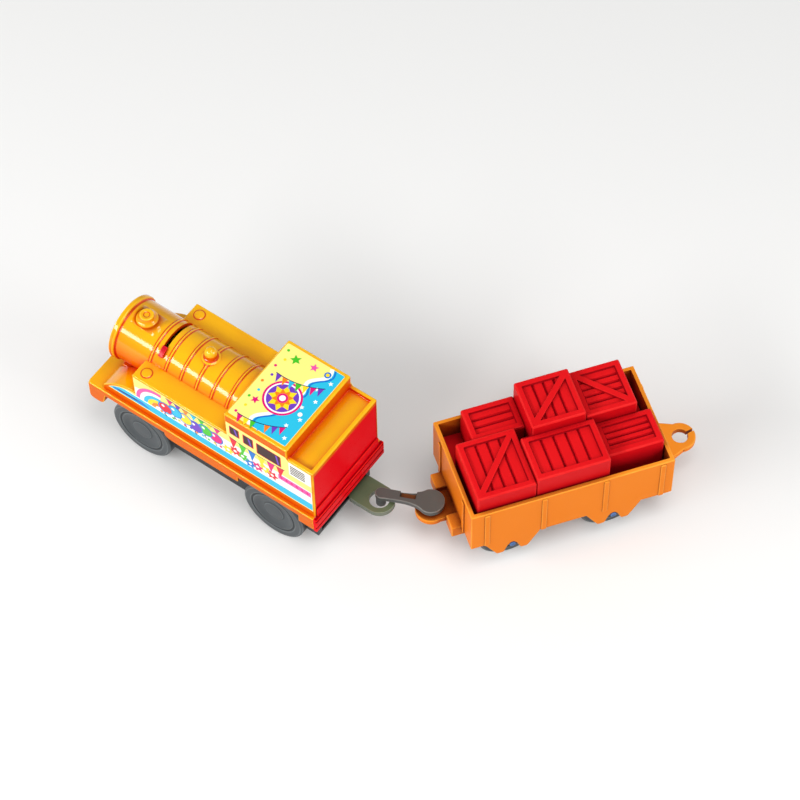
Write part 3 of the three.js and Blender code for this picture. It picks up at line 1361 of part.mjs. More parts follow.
function crateSolid(crate) {
  const x0 = loadInset + crate.x * loadLength;
  const y0 = (crate.y - 1 / 2) * loadWidth;
  const [x1, y1] = [x0 + crate.long * loadLength, y0 + crate.wide * loadWidth];
  const bottom = wagonFloor + fitGap;
  const top = bottom + crate.high * loadHeight;
  const [px0, px1, py0, py1] = [x0 + frameWidth, x1 - frameWidth, y0 + frameWidth, y1 - frameWidth];
  let panel = block(px0, px1, py0, py1, top - panelDepth, top + overrun);
  if (crate.brace !== 0) {
    const [ya, yb] = crate.brace > 0 ? [py0, py1] : [py1, py0];
    const across = new THREE.Vector2(-(yb - ya), px1 - px0).setLength(frameWidth / 2);
    panel = panel.subtract(planSlab([
      [px0 - across.x, ya - across.y], [px1 - across.x, yb - across.y],
      [px1 + across.x, yb + across.y], [px0 + across.x, ya + across.y],
    ], bottom, top + 2 * overrun));
  }
  const cuts = [panel];
  const alongX = crate.along === 'x';
  const [from, to] = alongX ? [py0, py1] : [px0, px1];
  for (let i = 1; i < crate.slats; i += 1) {
    const middle = from + (to - from) * i / crate.slats;
    const ends = [middle - slatGroove / 2, middle + slatGroove / 2];
    const low = top - 2 * panelDepth;
    const groove = alongX ? block(px0, px1, ...ends, low, top - panelDepth / 2)
      : block(...ends, py0, py1, low, top - panelDepth / 2);
    cuts.push(groove.intersect(panel.add(panel.translate([0, 0, -panelDepth]))));
  }
  return cutBy(block(x0, x1, y0, y1, bottom, top), ...cuts);
}

function crateLoad() {
  const base = block(loadInset, loadInset + loadLength, -loadWidth / 2, loadWidth / 2,
    wagonFloor + fitGap, wagonFloor + fitGap + loadBase);
  return joined(base, ...Object.values(crateShares).map(crateSolid));
}
addPiece(wagon, 'crate_load', crateLoad(), red);

// The origin goes under the middle of the whole train.
train.updateMatrixWorld(true);
const bounds = new THREE.Box3().setFromObject(train, true);
loco.position.set(-(bounds.min.x + bounds.max.x) / 2, -(bounds.min.y + bounds.max.y) / 2, -bounds.min.z);

export default train;
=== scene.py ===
import math

import bmesh
import bpy
from mathutils import Matrix, Vector
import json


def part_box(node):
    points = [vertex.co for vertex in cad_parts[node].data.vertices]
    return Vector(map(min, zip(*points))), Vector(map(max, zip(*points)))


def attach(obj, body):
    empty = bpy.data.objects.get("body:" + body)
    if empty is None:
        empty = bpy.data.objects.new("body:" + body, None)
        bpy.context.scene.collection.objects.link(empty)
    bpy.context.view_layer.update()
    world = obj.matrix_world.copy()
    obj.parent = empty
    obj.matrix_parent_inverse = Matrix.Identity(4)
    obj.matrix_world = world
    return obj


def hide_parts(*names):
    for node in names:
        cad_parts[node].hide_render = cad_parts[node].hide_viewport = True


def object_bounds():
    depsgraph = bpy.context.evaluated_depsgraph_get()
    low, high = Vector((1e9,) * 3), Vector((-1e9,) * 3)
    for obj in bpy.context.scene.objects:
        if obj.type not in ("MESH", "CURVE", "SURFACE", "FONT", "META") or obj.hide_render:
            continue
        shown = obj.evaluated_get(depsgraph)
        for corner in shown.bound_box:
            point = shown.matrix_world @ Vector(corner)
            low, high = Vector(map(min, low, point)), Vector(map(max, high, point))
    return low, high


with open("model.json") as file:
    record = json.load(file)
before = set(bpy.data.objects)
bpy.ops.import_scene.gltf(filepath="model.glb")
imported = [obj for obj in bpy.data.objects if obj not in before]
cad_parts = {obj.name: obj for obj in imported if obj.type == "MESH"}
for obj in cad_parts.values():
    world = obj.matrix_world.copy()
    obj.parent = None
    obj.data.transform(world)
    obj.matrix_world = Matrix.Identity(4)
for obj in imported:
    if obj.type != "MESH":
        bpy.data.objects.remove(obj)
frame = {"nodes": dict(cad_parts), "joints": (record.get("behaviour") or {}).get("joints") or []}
cad_low, cad_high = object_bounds()


# Where the vehicles stand. The locomotive's frame has its rear face at X = 0, the link's its peg
# and the wagon's its rear wall, each at rail height. The joints that carry them give their places.
mm = 0.001
joint_place = {joint["name"]: Vector(joint["pos_m"]) for joint in frame["joints"] if "pos_m" in joint}
shell_low, shell_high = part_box("body_shell")
loco_place = Matrix.Translation((shell_low.x, (shell_low.y + shell_high.y) / 2, 0))
wagon_axle_x = 22.6


def standing(origin, towards):
    """A frame on the rail at origin, with its X axis pointing at another place."""
    turn = math.atan2(towards.y - origin.y, towards.x - origin.x)
    return Matrix.Translation((origin.x, origin.y, 0)) @ Matrix.Rotation(turn, 4, "Z")


link_reach = joint_place["link_swing"] - joint_place["wagon_swing"]
link_place = standing(joint_place["link_swing"], joint_place["link_swing"] + link_reach)
wagon_place = standing(joint_place["wagon_rear_axle_spin"], joint_place["wagon_front_axle_spin"])
wagon_place = wagon_place @ Matrix.Translation((-wagon_axle_x * mm, 0, 0))
hook_place = Matrix.Translation((joint_place["link_swing"].x, joint_place["link_swing"].y, 0))


# Body shell: one injection moulding in glossy orange plastic, with softly rounded edges.
# It is made from bevelled solids that are joined, then hollowed from below and slotted for the
# switch. The fine bands and fittings on the boiler are part of the same moulding.
PLANE_OF = {"x": (1, 2, 0), "y": (0, 2, 1), "z": (0, 1, 2)}


def bent(start, middle, end, share):
    """The place at a share of the way along a bend from start to end that leans on middle."""
    start, middle, end = Vector(start), Vector(middle), Vector(end)
    return tuple(start * (1 - share) ** 2 + middle * 2 * share * (1 - share) + end * share ** 2)


def rounded(outline, radius=0, steps=4):
    """The outline with round corners. A point's third value is its own radius."""
    points = []
    for index, corner in enumerate(outline):
        middle = Vector(corner[:2])
        before = Vector(outline[index - 1][:2]) - middle
        after = Vector(outline[(index + 1) % len(outline)][:2]) - middle
        size = corner[2] if len(corner) > 2 else radius
        if size == 0:
            points.append(tuple(middle))
            continue
        start = middle + before.normalized() * min(size, 0.48 * before.length)
        end = middle + after.normalized() * min(size, 0.48 * after.length)
        points += [bent(start, middle, end, step / steps) for step in range(steps + 1)]
    return points


def as_object(shape, name="piece"):
    """A bmesh as an object of the scene."""
    bmesh.ops.recalc_face_normals(shape, faces=shape.faces)
    mesh = bpy.data.meshes.new(name)
    shape.to_mesh(mesh)
    shape.free()
    made = bpy.data.objects.new(name, mesh)
    bpy.context.scene.collection.objects.link(made)
    return made


def prism(outline, along, low, high):
    """A solid with one outline from low to high along an axis."""
    first, second, third = PLANE_OF[along]
    shape = bmesh.new()
    rings = []
    for level in (low, high):
        ring = []
        for point in outline:
            place = [0, 0, 0]
            place[first] = point[0] * mm
            place[second] = point[1] * mm
            place[third] = level * mm
            ring.append(shape.verts.new(place))
        rings.append(ring)
    for ring in rings:
        shape.faces.new(ring)
    for index in range(len(outline)):
        shape.faces.new((rings[0][index - 1], rings[0][index], rings[1][index], rings[1][index - 1]))
    return as_object(shape)


def oblong(x0, x1, y0, y1):
    """The outline of an oblong between two corners."""
    return [(x0, y0), (x1, y0), (x1, y1), (x0, y1)]


def box(x0, x1, y0, y1, z0, z1):
    """A plain box between two corners, before its edges are softened."""
    return prism(oblong(x0, x1, y0, y1), "z", z0, z1)


def turned(profile, along, centre, sides=96, bored=False):
    """A turned solid. The profile is a list of radius and height; bored ones close on themselves."""
    first, second, third = PLANE_OF[along]
    shape = bmesh.new()
    rings = []
    for radius, height in profile:
        ring = []
        for side in range(sides if radius > 0 else 1):
            angle = 2 * math.pi * side / sides
            place = [value * mm for value in centre]
            place[first] += radius * math.cos(angle) * mm
            place[second] += radius * math.sin(angle) * mm
            place[third] += height * mm
            ring.append(shape.verts.new(place))
        rings.append(ring)
    pairs = list(zip(rings, rings[1:]))
    if bored:
        pairs.append((rings[-1], rings[0]))
    for lower, upper in pairs:
        for side in range(sides if len(lower) + len(upper) > 2 else 0):
            ahead = (side + 1) % sides
            corners = [lower[side % len(lower)], lower[ahead % len(lower)],
                       upper[ahead % len(upper)], upper[side % len(upper)]]
            shape.faces.new(list(dict.fromkeys(corners)))
    return as_object(shape)


def rod(radius, low, high, along, centre, sides):
    """A plain round bar between two heights along an axis."""
    return turned([(0, low), (radius, low), (radius, high), (0, high)], along, centre, sides)


def baked(piece):
    """The piece with its modifiers worked into its mesh."""
    seen = piece.evaluated_get(bpy.context.evaluated_depsgraph_get())
    mesh = bpy.data.meshes.new_from_object(seen)
    piece.modifiers.clear()
    piece.data = mesh
    return piece


def softened(piece, width, steps=3, sharper_than=35):
    """The piece with its edges rounded off, as a mould leaves them."""
    bevel = piece.modifiers.new("edges", "BEVEL")
    bevel.width = width * mm
    bevel.segments = steps
    bevel.limit_method = "ANGLE"
    bevel.angle_limit = math.radians(sharper_than)
    return baked(piece)


def combined(piece, others, operation):
    """The piece joined with the others, or cut by them."""
    for other in others:
        step = piece.modifiers.new(operation, "BOOLEAN")
        step.operation = operation
        step.solver = "EXACT"
        step.object = other
    baked(piece)
    for other in others:
        bpy.data.objects.remove(other)
    return piece


def mark_form(mesh):
    """Marks each narrow face for the painted edge highlights and the painted crease shade: 1 along an outer
    edge, -1 in a crease.
    """
    shape = bmesh.new()
    shape.from_mesh(mesh)
    marks = []
    for face in shape.faces:
        longest = max(edge.calc_length() for edge in face.edges)
        turn = 0
        if len(face.verts) > 3 and face.calc_area() < 0.45 * mm * longest:
            turn = sum(edge.calc_face_angle_signed(0) for edge in face.edges
                       if edge.calc_length() > 0.4 * longest)
        marks.append(1.0 if turn > 0.3 else -1.0 if turn < -0.3 else 0.0)
    shape.free()
    mesh.attributes.new("form", "FLOAT", "FACE").data.foreach_set("value", marks)


def fitted(piece, name, body, place, finish, replaces=()):
    """Names a finished piece, puts it in its place on a body and gives it its finish."""
    piece.name = name
    piece.data.name = name
    mark_form(piece.data)
    piece.data.transform(place)
    piece.data.shade_smooth()
    piece.data.set_sharp_from_angle(angle=math.radians(32))
    piece.data.materials.clear()
    piece.data.materials.append(finish)
    even = piece.modifiers.new("even_shading", "WEIGHTED_NORMAL")
    even.keep_sharp = True
    even.weight = 80
    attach(piece, body)
    if replaces:
        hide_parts(*replaces)
    return piece


def colour_of(red, green, blue):
    """A colour given by the values that a picture shows, from 0 to 255."""
    shown = [value / 255 for value in (red, green, blue)]
    return [value / 12.92 if value < 0.04045 else ((value + 0.055) / 1.055) ** 2.4
            for value in shown] + [1]


def shader_group(name, inputs, outputs):
    """A new shader node group, what it is given, and the node that takes what it makes."""
    group = bpy.data.node_groups.new(name, "ShaderNodeTree")
    for label, kind, value in inputs:
        socket = group.interface.new_socket(name=label, in_out="INPUT", socket_type="NodeSocket" + kind)
        socket.default_value = value
    for label, kind in outputs:
        group.interface.new_socket(name=label, in_out="OUTPUT", socket_type="NodeSocket" + kind)
    return group, group.nodes.new("NodeGroupInput").outputs, group.nodes.new("NodeGroupOutput")


def fed(tree, target, inputs):
    """Gives each input of a node its value, or links it to another node's output."""
    for name, value in inputs.items():
        if isinstance(value, bpy.types.NodeSocket):
            tree.links.new(value, target.inputs[name])
        else:
            target.inputs[name].default_value = value


def node(tree, kind, inputs, **settings):
    """A new shader node with its settings and inputs. It returns the node's outputs."""
    added = tree.nodes.new("ShaderNode" + kind)
    for name, value in settings.items():
        setattr(added, name, value)
    fed(tree, added, inputs)
    return added.outputs


def new_finish(name):
    """A new material, its node tree and its surface shader."""
    finish = bpy.data.materials.new(name)
    finish.use_nodes = True
    return finish, finish.node_tree, finish.node_tree.nodes["Principled BSDF"]


# Mould skin: plastic is never quite even. The colour drifts a little over the part, the gloss changes,
# and the surface keeps the fine ripple of the mould. Faces that turn upright or downward are mixed
# towards a darker colour: painted shade, as if they got less light than the tops.
mould_skin, given, made = shader_group(
    "mould_skin",
    [("Colour", "Color", (1, 1, 1, 1)), ("Shade", "Color", (0.8, 0.8, 0.8, 1)),
     ("Painted Shade", "Color", (0.8, 0.8, 0.8, 1)), ("Grain", "Float", 900.0), ("Smooth", "Float", 0.2),
     ("Rough", "Float", 0.35), ("Polish", "Float", 0.0)],
    [("Colour", "Color"), ("Roughness", "Float"), ("Height", "Float"), ("Polish", "Float")])
where = node(mould_skin, "TexCoord", {})
drift = node(mould_skin, "TexNoise", {"Vector": where["Object"], "Scale": 38, "Detail": 3})
grain = node(mould_skin, "TexNoise", {"Vector": where["Object"], "Scale": given["Grain"], "Detail": 4,
                                      "Roughness": 0.6})
drift_share = node(mould_skin, "MapRange", {"Value": drift["Fac"], "From Min": 0.38, "From Max": 0.72})
blend = node(mould_skin, "Mix", {0: drift_share["Result"], 6: given["Colour"], 7: given["Shade"]},
             data_type="RGBA")
upward = node(mould_skin, "SeparateXYZ", {"Vector": where["Normal"]})
# Painted shade: faces that turn upright or downward are mixed towards the shade colour.
shade_by_facing = node(mould_skin, "MapRange", {"Value": upward["Z"], "From Min": 0.92, "From Max": -0.25})
lower = node(mould_skin, "Mix", {0: shade_by_facing["Result"], 6: blend[2], 7: given["Painted Shade"]}, data_type="RGBA")
handled = node(mould_skin, "MapRange", {"Value": upward["Z"], "From Min": 0.1, "From Max": 0.6})
polish = node(mould_skin, "Math", {0: handled["Result"], 1: given["Polish"]}, operation="MULTIPLY")
gloss = node(mould_skin, "Mix", {0: grain["Fac"], 2: given["Smooth"], 3: given["Rough"]})
fed(mould_skin, made, {"Colour": lower[2], "Roughness": gloss[0], "Height": grain["Fac"],
                       "Polish": polish[0]})

# Painted edge light and crease shade: the outer edges of a mould are painted lighter, broken up by noise,
# as a painted highlight, and its creases and corners are painted darker in colour, as painted shade.
edge_light, given, made = shader_group(
    "edge_light",
    [("Colour", "Color", (1, 1, 1, 1)), ("Edge", "Color", (1, 1, 1, 1)),
     ("Crease", "Color", (0.5, 0.5, 0.5, 1)), ("Highlight Share", "Float", 0.6), ("Reach", "Float", 0.003),
     ("Deepness", "Float", 0.9)],
    [("Colour", "Color")])
form = node(edge_light, "Attribute", {}, attribute_name="form")
where = node(edge_light, "TexCoord", {})
highlight_breakup = node(edge_light, "TexNoise", {"Vector": where["Object"], "Scale": 160, "Detail": 4})
# Painted highlight along the outer edges, broken up by noise.
highlight_patches = node(edge_light, "Math", {0: given["Highlight Share"], 1: highlight_breakup["Fac"]}, operation="MULTIPLY")
amount = node(edge_light, "Math", {0: form["Fac"], 1: highlight_patches[0]}, operation="MULTIPLY", use_clamp=True)
# Painted shade in the marked creases and, by ambient occlusion, in corners.
deep = node(edge_light, "Math", {0: form["Fac"], 1: -0.85}, operation="MULTIPLY", use_clamp=True)
closeness = node(edge_light, "AmbientOcclusion", {"Distance": given["Reach"]}, samples=8)
corner = node(edge_light, "MapRange", {"Value": closeness["AO"], "From Min": 0.93, "From Max": 0.45,
                                       "To Max": given["Deepness"]})
deepest = node(edge_light, "Math", {0: corner["Result"], 1: deep[0]}, operation="MAXIMUM")
highlighted = node(edge_light, "Mix", {0: amount[0], 6: given["Colour"], 7: given["Edge"]}, data_type="RGBA")
shaded = node(edge_light, "Mix", {0: deepest[0], 6: highlighted[2], 7: given["Crease"]}, data_type="RGBA")
fed(edge_light, made, {"Colour": shaded[2]})


def plastic(name, colour, shade, edge, crease, smooth, rough, low=None, grain=900, depth=0.08,
            tint=(1, 1, 1), coat=0.0, highlight_share=1.0, gleam=0.5, reach=2.5, deepness=0.9):
    """A moulded plastic: its colour, its shade where it drifts, painted shade on its low faces, a painted
    highlight on its edges and painted shade in its creases.
    """
    finish, tree, surface = new_finish(name)
    skin = node(tree, "Group", {
        "Colour": colour_of(*colour), "Shade": colour_of(*shade), "Painted Shade": colour_of(*(low or colour)),
        "Grain": grain, "Smooth": smooth, "Rough": rough, "Polish": coat}, node_tree=mould_skin)
    edges = node(tree, "Group", {
        "Colour": skin["Colour"], "Edge": colour_of(*edge), "Crease": colour_of(*crease), "Highlight Share": highlight_share,
        "Reach": reach * mm, "Deepness": deepness}, node_tree=edge_light)
    bump = node(tree, "Bump", {"Height": skin["Height"], "Strength": depth, "Distance": 0.05 * mm})
    fed(tree, surface, {
        "Base Color": edges["Colour"], "Roughness": skin["Roughness"], "Normal": bump["Normal"],
        "Specular IOR Level": gleam, "Specular Tint": (*tint, 1)})
    if coat:
        fed(tree, surface, {"Coat Weight": skin["Polish"], "Coat Roughness": 0.1})
    return finish


# Painted light: the low colour is painted shade on upright and downward faces, the edge colour is a painted
# highlight along outer edges, and the crease colour is painted shade in creases and corners.
orange_body = plastic("orange_body", (248, 182, 0), (246, 172, 0), (255, 206, 40), (212, 22, 8),
                      low=(214, 58, 0), smooth=0.17, rough=0.25, tint=(1, 0.72, 0.35), coat=1.0,
                      gleam=0.05, reach=6)

half_width = 19.4
ledge_half_width = 20.8
ledge_bottom = 27.8
ledge_top = 31.0
bunker_length = 11.3
bunker_top = 59.7
cab_front = 38.8
roof_top = 64.9
tank_front = 81.5
tank_top = 52.5
deck_front = 103.5
boiler_radius = 12.25
boiler_z = 47.3
boiler_front = 97.8
boiler_bore = 10.75
shell_wall = 1.5
sweep_rise = 10.4
sweep_length = 15.4
sweep_foot = 2.2
splasher_width = 9.6
slot_x = 76.2
slot_width = 1.8


def sweep_outline():
    """The fairing beside the smokebox: level off the tank, then curving down to the deck."""
    top = ledge_top + sweep_rise
    curve = [bent((tank_front, top), (tank_front + sweep_length / 2, top),
                  (tank_front + sweep_length, ledge_top + sweep_foot), step / 14) for step in range(15)]
    low = ledge_top - shell_wall
    rear = tank_front - shell_wall
    return [(rear, low), (rear, top), *curve, (tank_front + sweep_length, low)]


def footplate_outline():
    """The footplate in plan, with its two rounded front corners."""
    return rounded([(0, -ledge_half_width), (deck_front, -ledge_half_width, 1.8),
                    (deck_front, ledge_half_width, 1.8), (0, ledge_half_width)], steps=6)


def arc_slot(radius_in, radius_out, start, end, x0, x1, steps=40):
    """A curved slot round the boiler, as a solid that cuts it."""
    angles = [math.radians(start + (end - start) * step / steps) for step in range(steps + 1)]
    outer = [(radius_out * math.cos(a), boiler_z + radius_out * math.sin(a)) for a in angles]
    inner = [(radius_in * math.cos(a), boiler_z + radius_in * math.sin(a)) for a in reversed(angles)]
    return prism(outer + inner, "x", x0, x1)


upper = softened(prism([
    (0, ledge_top - shell_wall), (0, bunker_top), (bunker_length, bunker_top), (bunker_length, roof_top),
    (cab_front, roof_top), (cab_front, tank_top), (tank_front, tank_top),
    (tank_front, ledge_top - shell_wall),
], "y", -half_width, half_width), 0.55)
footplate = softened(prism(footplate_outline(), "z", ledge_bottom, ledge_top), 0.4)
beam_inset = 0.1
beam_front = deck_front - beam_inset
front_beam = softened(prism(rounded([
    (deck_front - 8.1, ledge_bottom + 0.6), (deck_front - 6.5, 21.2, 2.4), (beam_front, 21.2, 2.4),
    (beam_front, ledge_top - 0.6), (deck_front - 8.1, ledge_top - 0.6)], steps=8),
    "y", beam_inset - ledge_half_width, ledge_half_width - beam_inset), 0.4)
fairings = [softened(prism(sweep_outline(), "y", low, high), 0.45) for low, high in
            ((half_width - splasher_width, half_width), (-half_width, splasher_width - half_width))]
skirt_outline = rounded([(34.4, ledge_bottom + 1.5), (34.4, 24.5, 0.5), (68.1, 24.5, 4.6),
                         (68.1, ledge_bottom + 1.5)], steps=8)
skirt_face = ledge_half_width - 0.2
skirts = [softened(prism(skirt_outline, "y", low, high), 0.3) for low, high in
          ((half_width, skirt_face), (-skirt_face, -half_width))]
rear_corners = [softened(box(0.05, 7, low, high, 23.6, ledge_top - 0.8), 0.35) for low, high in
                ((half_width - shell_wall, skirt_face), (-skirt_face, shell_wall - half_width))]
saddle = softened(box(84, 95, -9.9, 9.9, ledge_top - shell_wall, 36.6), 0.5)

band_places = [cab_front + 5.7 + index * 6.9 for index in range(5)] + [tank_front - 2.4]
boiler_profile = [(boiler_radius, cab_front - shell_wall)]
for place in band_places:
    boiler_profile += rounded([
        (boiler_radius, place - 0.7), (boiler_radius - 0.2, place, 0.6),
        (boiler_radius + 0.28, place + 0.3, 0.2), (boiler_radius + 0.28, place + 0.7, 0.2),
        (boiler_radius - 0.2, place + 1.0, 0.6), (boiler_radius, place + 1.7)], steps=3)
boiler_profile += rounded([
    (boiler_radius, boiler_front - 3.3), (boiler_radius - 0.3, boiler_front - 2.5, 0.5),
    (boiler_radius + 0.85, boiler_front - 2.0, 0.5),
    (boiler_radius + 0.85, boiler_front, 0.5),
    (boiler_bore, boiler_front, 0.5), (boiler_bore, boiler_front - 3)], steps=4)
boiler_profile += [(boiler_bore, cab_front - shell_wall)]
boiler = turned(boiler_profile, "x", (0, 0, boiler_z), sides=128, bored=True)

top_of_boiler = boiler_z + boiler_radius
chimney = turned(rounded([
    (0, -2), (4.2, -2), (4.2, 0.5, 0.7), (3.4, 1.1, 0.6), (2.9, 1.9, 0.7), (2.6, 2.8, 0.6), (1.6, 2.7, 0.5),
    (1.0, 2.35, 0.5), (0, 2.35)], steps=4), "z", (88.7, 0, top_of_boiler), sides=64)


def domed(radius, rise, x, y, base):
    """A small round-topped fitting with a fillet at its foot."""
    foot = min(0.7, 0.5 * rise)
    sides = [(0, -2), (radius + 1.2, -2), (radius + 1.2, 0), (radius + 0.5, 0.35 * foot), (radius, foot)]
    shoulder = max(rise - radius, foot)
    crown = [(radius * math.cos(angle), shoulder + (rise - shoulder) * math.sin(angle))
             for angle in [math.pi / 2 * step / 10 for step in range(10)]]
    return turned(sides + crown + [(0, rise)], "z", (x, y, base), sides=48)


fittings = [chimney, domed(2.4, 5.0, 59.5, 0, top_of_boiler), domed(1.9, 0.6, 77.4, 15.6, tank_top),
            domed(1.9, 0.6, 77.4, -15.6, tank_top)]

hidden = 30
inner = half_width - shell_wall
ceiling = tank_top - shell_wall
hollows = [
    box(shell_wall, deck_front - shell_wall, -inner, inner, ledge_bottom - hidden, ledge_top - shell_wall),
    box(shell_wall, tank_front - shell_wall, -inner, inner, ledge_bottom - hidden, ceiling),
    box(shell_wall, cab_front - shell_wall, -inner, inner, ledge_bottom, 56.7),
    box(bunker_length + shell_wall, cab_front - shell_wall, -inner, inner, 50, roof_top - shell_wall),
    rod(boiler_bore, -3 * shell_wall, boiler_front - cab_front + 3, "x", (cab_front, 0, boiler_z), 128),
    softened(box(shell_wall, bunker_length + 0.01, -inner, inner, bunker_top - shell_wall,
                 bunker_top + 4), 0.35),
    box(-2, shell_wall, -18.77, 18.77, 0, bunker_top - 2.1),
    arc_slot(8, 15.5, 44, 153, slot_x - slot_width / 2, slot_x + slot_width / 2),
]
post_radius, post_bore, post_length = 3, 1.15, 27.6
rear_post = turned([(post_bore, 0), (post_radius, 0), (post_radius, post_length), (post_bore, post_length)],
                   "z", (10, 0, 29.6), sides=32, bored=True)
shell = combined(upper, [footplate, front_beam, *fairings, *skirts, *rear_corners, saddle, boiler,
                         *fittings], "UNION")
shell = combined(shell, hollows, "DIFFERENCE")
shell = combined(shell, [rear_post], "UNION")
fitted(shell, "body_moulding", "loco", loco_place, orange_body, ["body_shell"])


# Rear panel: a separate plate in bright red plastic, let into the back of the body and clipped
# there. Its grooved flange closes the gap over the hook and reaches out to the footplate's edges.
# The edge colour is a painted highlight, and the crease and low colours are painted shade.
red_panel = plastic("red_panel", (226, 6, 20), (216, 2, 16), (250, 50, 40), (140, 0, 12), smooth=0.24,
                    rough=0.34, low=(228, 2, 20), depth=0.03, tint=(1, 0.3, 0.3), gleam=0.02, reach=1.2)
panel_half_width = 18.65
panel_top = 57.48
flange_bottom = 23.6
flange_proud = 1.5
plate = softened(box(0, 1.2, -panel_half_width, panel_half_width, flange_bottom, panel_top), 0.25, 2)
flange = softened(box(-flange_proud, 0.1, -ledge_half_width, ledge_half_width, flange_bottom,
                      ledge_top), 0.35)
step = softened(box(-0.75, 0.1, -panel_half_width, panel_half_width, ledge_top - 1.5, 35.7), 0.3)
grooves = [softened(box(-4, 0.45 - flange_proud, -25, 25, z - 0.4, z + 0.4), 0.15, 2)
           for z in (26.26, 30.26)]
panel = combined(plate, [flange, step], "UNION")
panel = combined(panel, grooves, "DIFFERENCE")
fitted(panel, "rear_plate", "loco", loco_place, red_panel, ["rear_panel"])


# Smokebox door: a dished disc moulded in the body's orange and pressed into the boiler's mouth.
# Two straps and a round knob stand on it.
door_radius = boiler_bore - 0.3
door_face = boiler_front - 1
disc = turned(rounded([
    (0, -2), (door_radius, -2), (door_radius, -0.9, 0.2), (door_radius * 0.8, -0.25, 2), (0, 0)],
    steps=5), "x", (door_face, 0, boiler_z))
straps = [softened(box(door_face - 1, door_face + 0.5, -6.5, 6.5, z - 0.7, z + 0.7), 0.2)
          for z in (boiler_z - 3.5, boiler_z + 3.5)]
knob = turned(rounded([(0, -1), (1.3, -1), (1.3, 1.4, 0.6), (0, 1.4)], steps=5), "x",
              (door_face, 0, boiler_z), sides=40)
door = combined(disc, [*straps, knob], "UNION")
fitted(door, "smokebox_disc", "loco", loco_place, orange_body, ["smokebox_door"])


# Labels: printed film on the roof and both sides, cut to the body's outline. The film is pale
# yellow and white, and the motifs are inks laid over it in layers a few hundredths thick.
halftone, given, made = shader_group(
    "halftone",
    [("Ink", "Color", (1, 1, 1, 1)), ("Dot", "Color", (1, 1, 1, 1)), ("Screen", "Float", 3000.0)],
    [("Colour", "Color")])
where = node(halftone, "TexCoord", {})
cells = node(halftone, "TexVoronoi", {"Vector": where["Object"], "Scale": given["Screen"],
                                      "Randomness": 0})
dots = node(halftone, "MapRange", {"Value": cells["Distance"], "From Min": 0.3, "From Max": 0.36,
                                   "To Min": 0.35, "To Max": 0})
blend = node(halftone, "Mix", {0: dots["Result"], 6: given["Ink"], 7: given["Dot"]}, data_type="RGBA")
fed(halftone, made, {"Colour": blend[2]})


def printed(name, ink, dot):
    """A printed colour under clear gloss film."""
    finish, tree, surface = new_finish(name)
    screen = node(tree, "Group", {"Ink": colour_of(*ink), "Dot": colour_of(*dot)}, node_tree=halftone)
    fed(tree, surface, {"Base Color": screen["Colour"], "Roughness": 0.36, "Specular IOR Level": 0.2})
    return finish


film = printed("label_film", (255, 240, 128), (255, 247, 170))
inks = {
    "white": printed("ink_white", (250, 250, 246), (255, 252, 230)),
    "yellow": printed("ink_yellow", (255, 222, 30), (255, 232, 90)),
    "sky": printed("ink_sky", (40, 190, 226), (70, 205, 236)),
    "blue": printed("ink_blue", (20, 118, 210), (40, 140, 222)),
    "navy": printed("ink_navy", (28, 34, 92), (40, 50, 120)),
    "pink": printed("ink_pink", (240, 84, 168), (250, 130, 190)),
    "magenta": printed("ink_magenta", (226, 16, 120), (240, 50, 140)),
    "red": printed("ink_red", (226, 26, 50), (236, 60, 70)),
    "orange": printed("ink_orange", (252, 132, 20), (255, 160, 60)),
    "green": printed("ink_green", (70, 196, 40), (110, 212, 80)),
    "violet": printed("ink_violet", (112, 60, 190), (140, 90, 205)),
    "brown": printed("ink_brown", (52, 22, 20), (76, 36, 30)),
}


def disc_of(x, y, radius, sides=28):
    """A round spot of ink."""
    turns = [2 * math.pi * index / sides for index in range(sides)]
    return [(x + radius * math.cos(turn), y + radius * math.sin(turn)) for turn in turns]


def star_of(x, y, radius, points=5, waist=0.45, turn=90):
    """A star of ink."""
    corners = []
    for index in range(2 * points):
        reach = radius * (waist if index % 2 else 1)
        angle = math.radians(turn + 180 * index / points)
        corners.append((x + reach * math.cos(angle), y + reach * math.sin(angle)))
    return corners


def stroke_of(path, width):
    """A line of ink of one width along a path."""
    left, right = [], []
    for index, point in enumerate(path):
        before = Vector(path[max(index - 1, 0)])
        after = Vector(path[min(index + 1, len(path) - 1)])
        across = (after - before).normalized().orthogonal() * width / 2
        left.append(tuple(Vector(point) + across))
        right.append(tuple(Vector(point) - across))
    return left + right[::-1]


def arc_path(x, y, radius, start, end, steps=24):
    """Points along a circle's arc, angles in degrees."""
    angles = [math.radians(start + (end - start) * step / steps) for step in range(steps + 1)]
    return [(x + radius * math.cos(angle), y + radius * math.sin(angle)) for angle in angles]


def pennants(start, end, count, height, colours, sag=0.0):
    """A string of small flags between two places: the flags, then the string over them."""
    start, end = Vector(start), Vector(end)
    along = (end - start) / count
    across = along.orthogonal().normalized()
    shapes = []

    def hung(share):
        return start + (end - start) * share - across * sag * 4 * share * (1 - share)

    for index in range(count):
        left = hung((index + 0.08) / count)
        right = hung((index + 0.92) / count)
        tip = (left + right) / 2 - across * height
        shapes.append((colours[index % len(colours)], [tuple(left), tuple(right), tuple(tip)]))
    string = [tuple(hung(step / 20)) for step in range(21)]
    shapes.append(("navy", stroke_of(string, 0.28)))
    return shapes


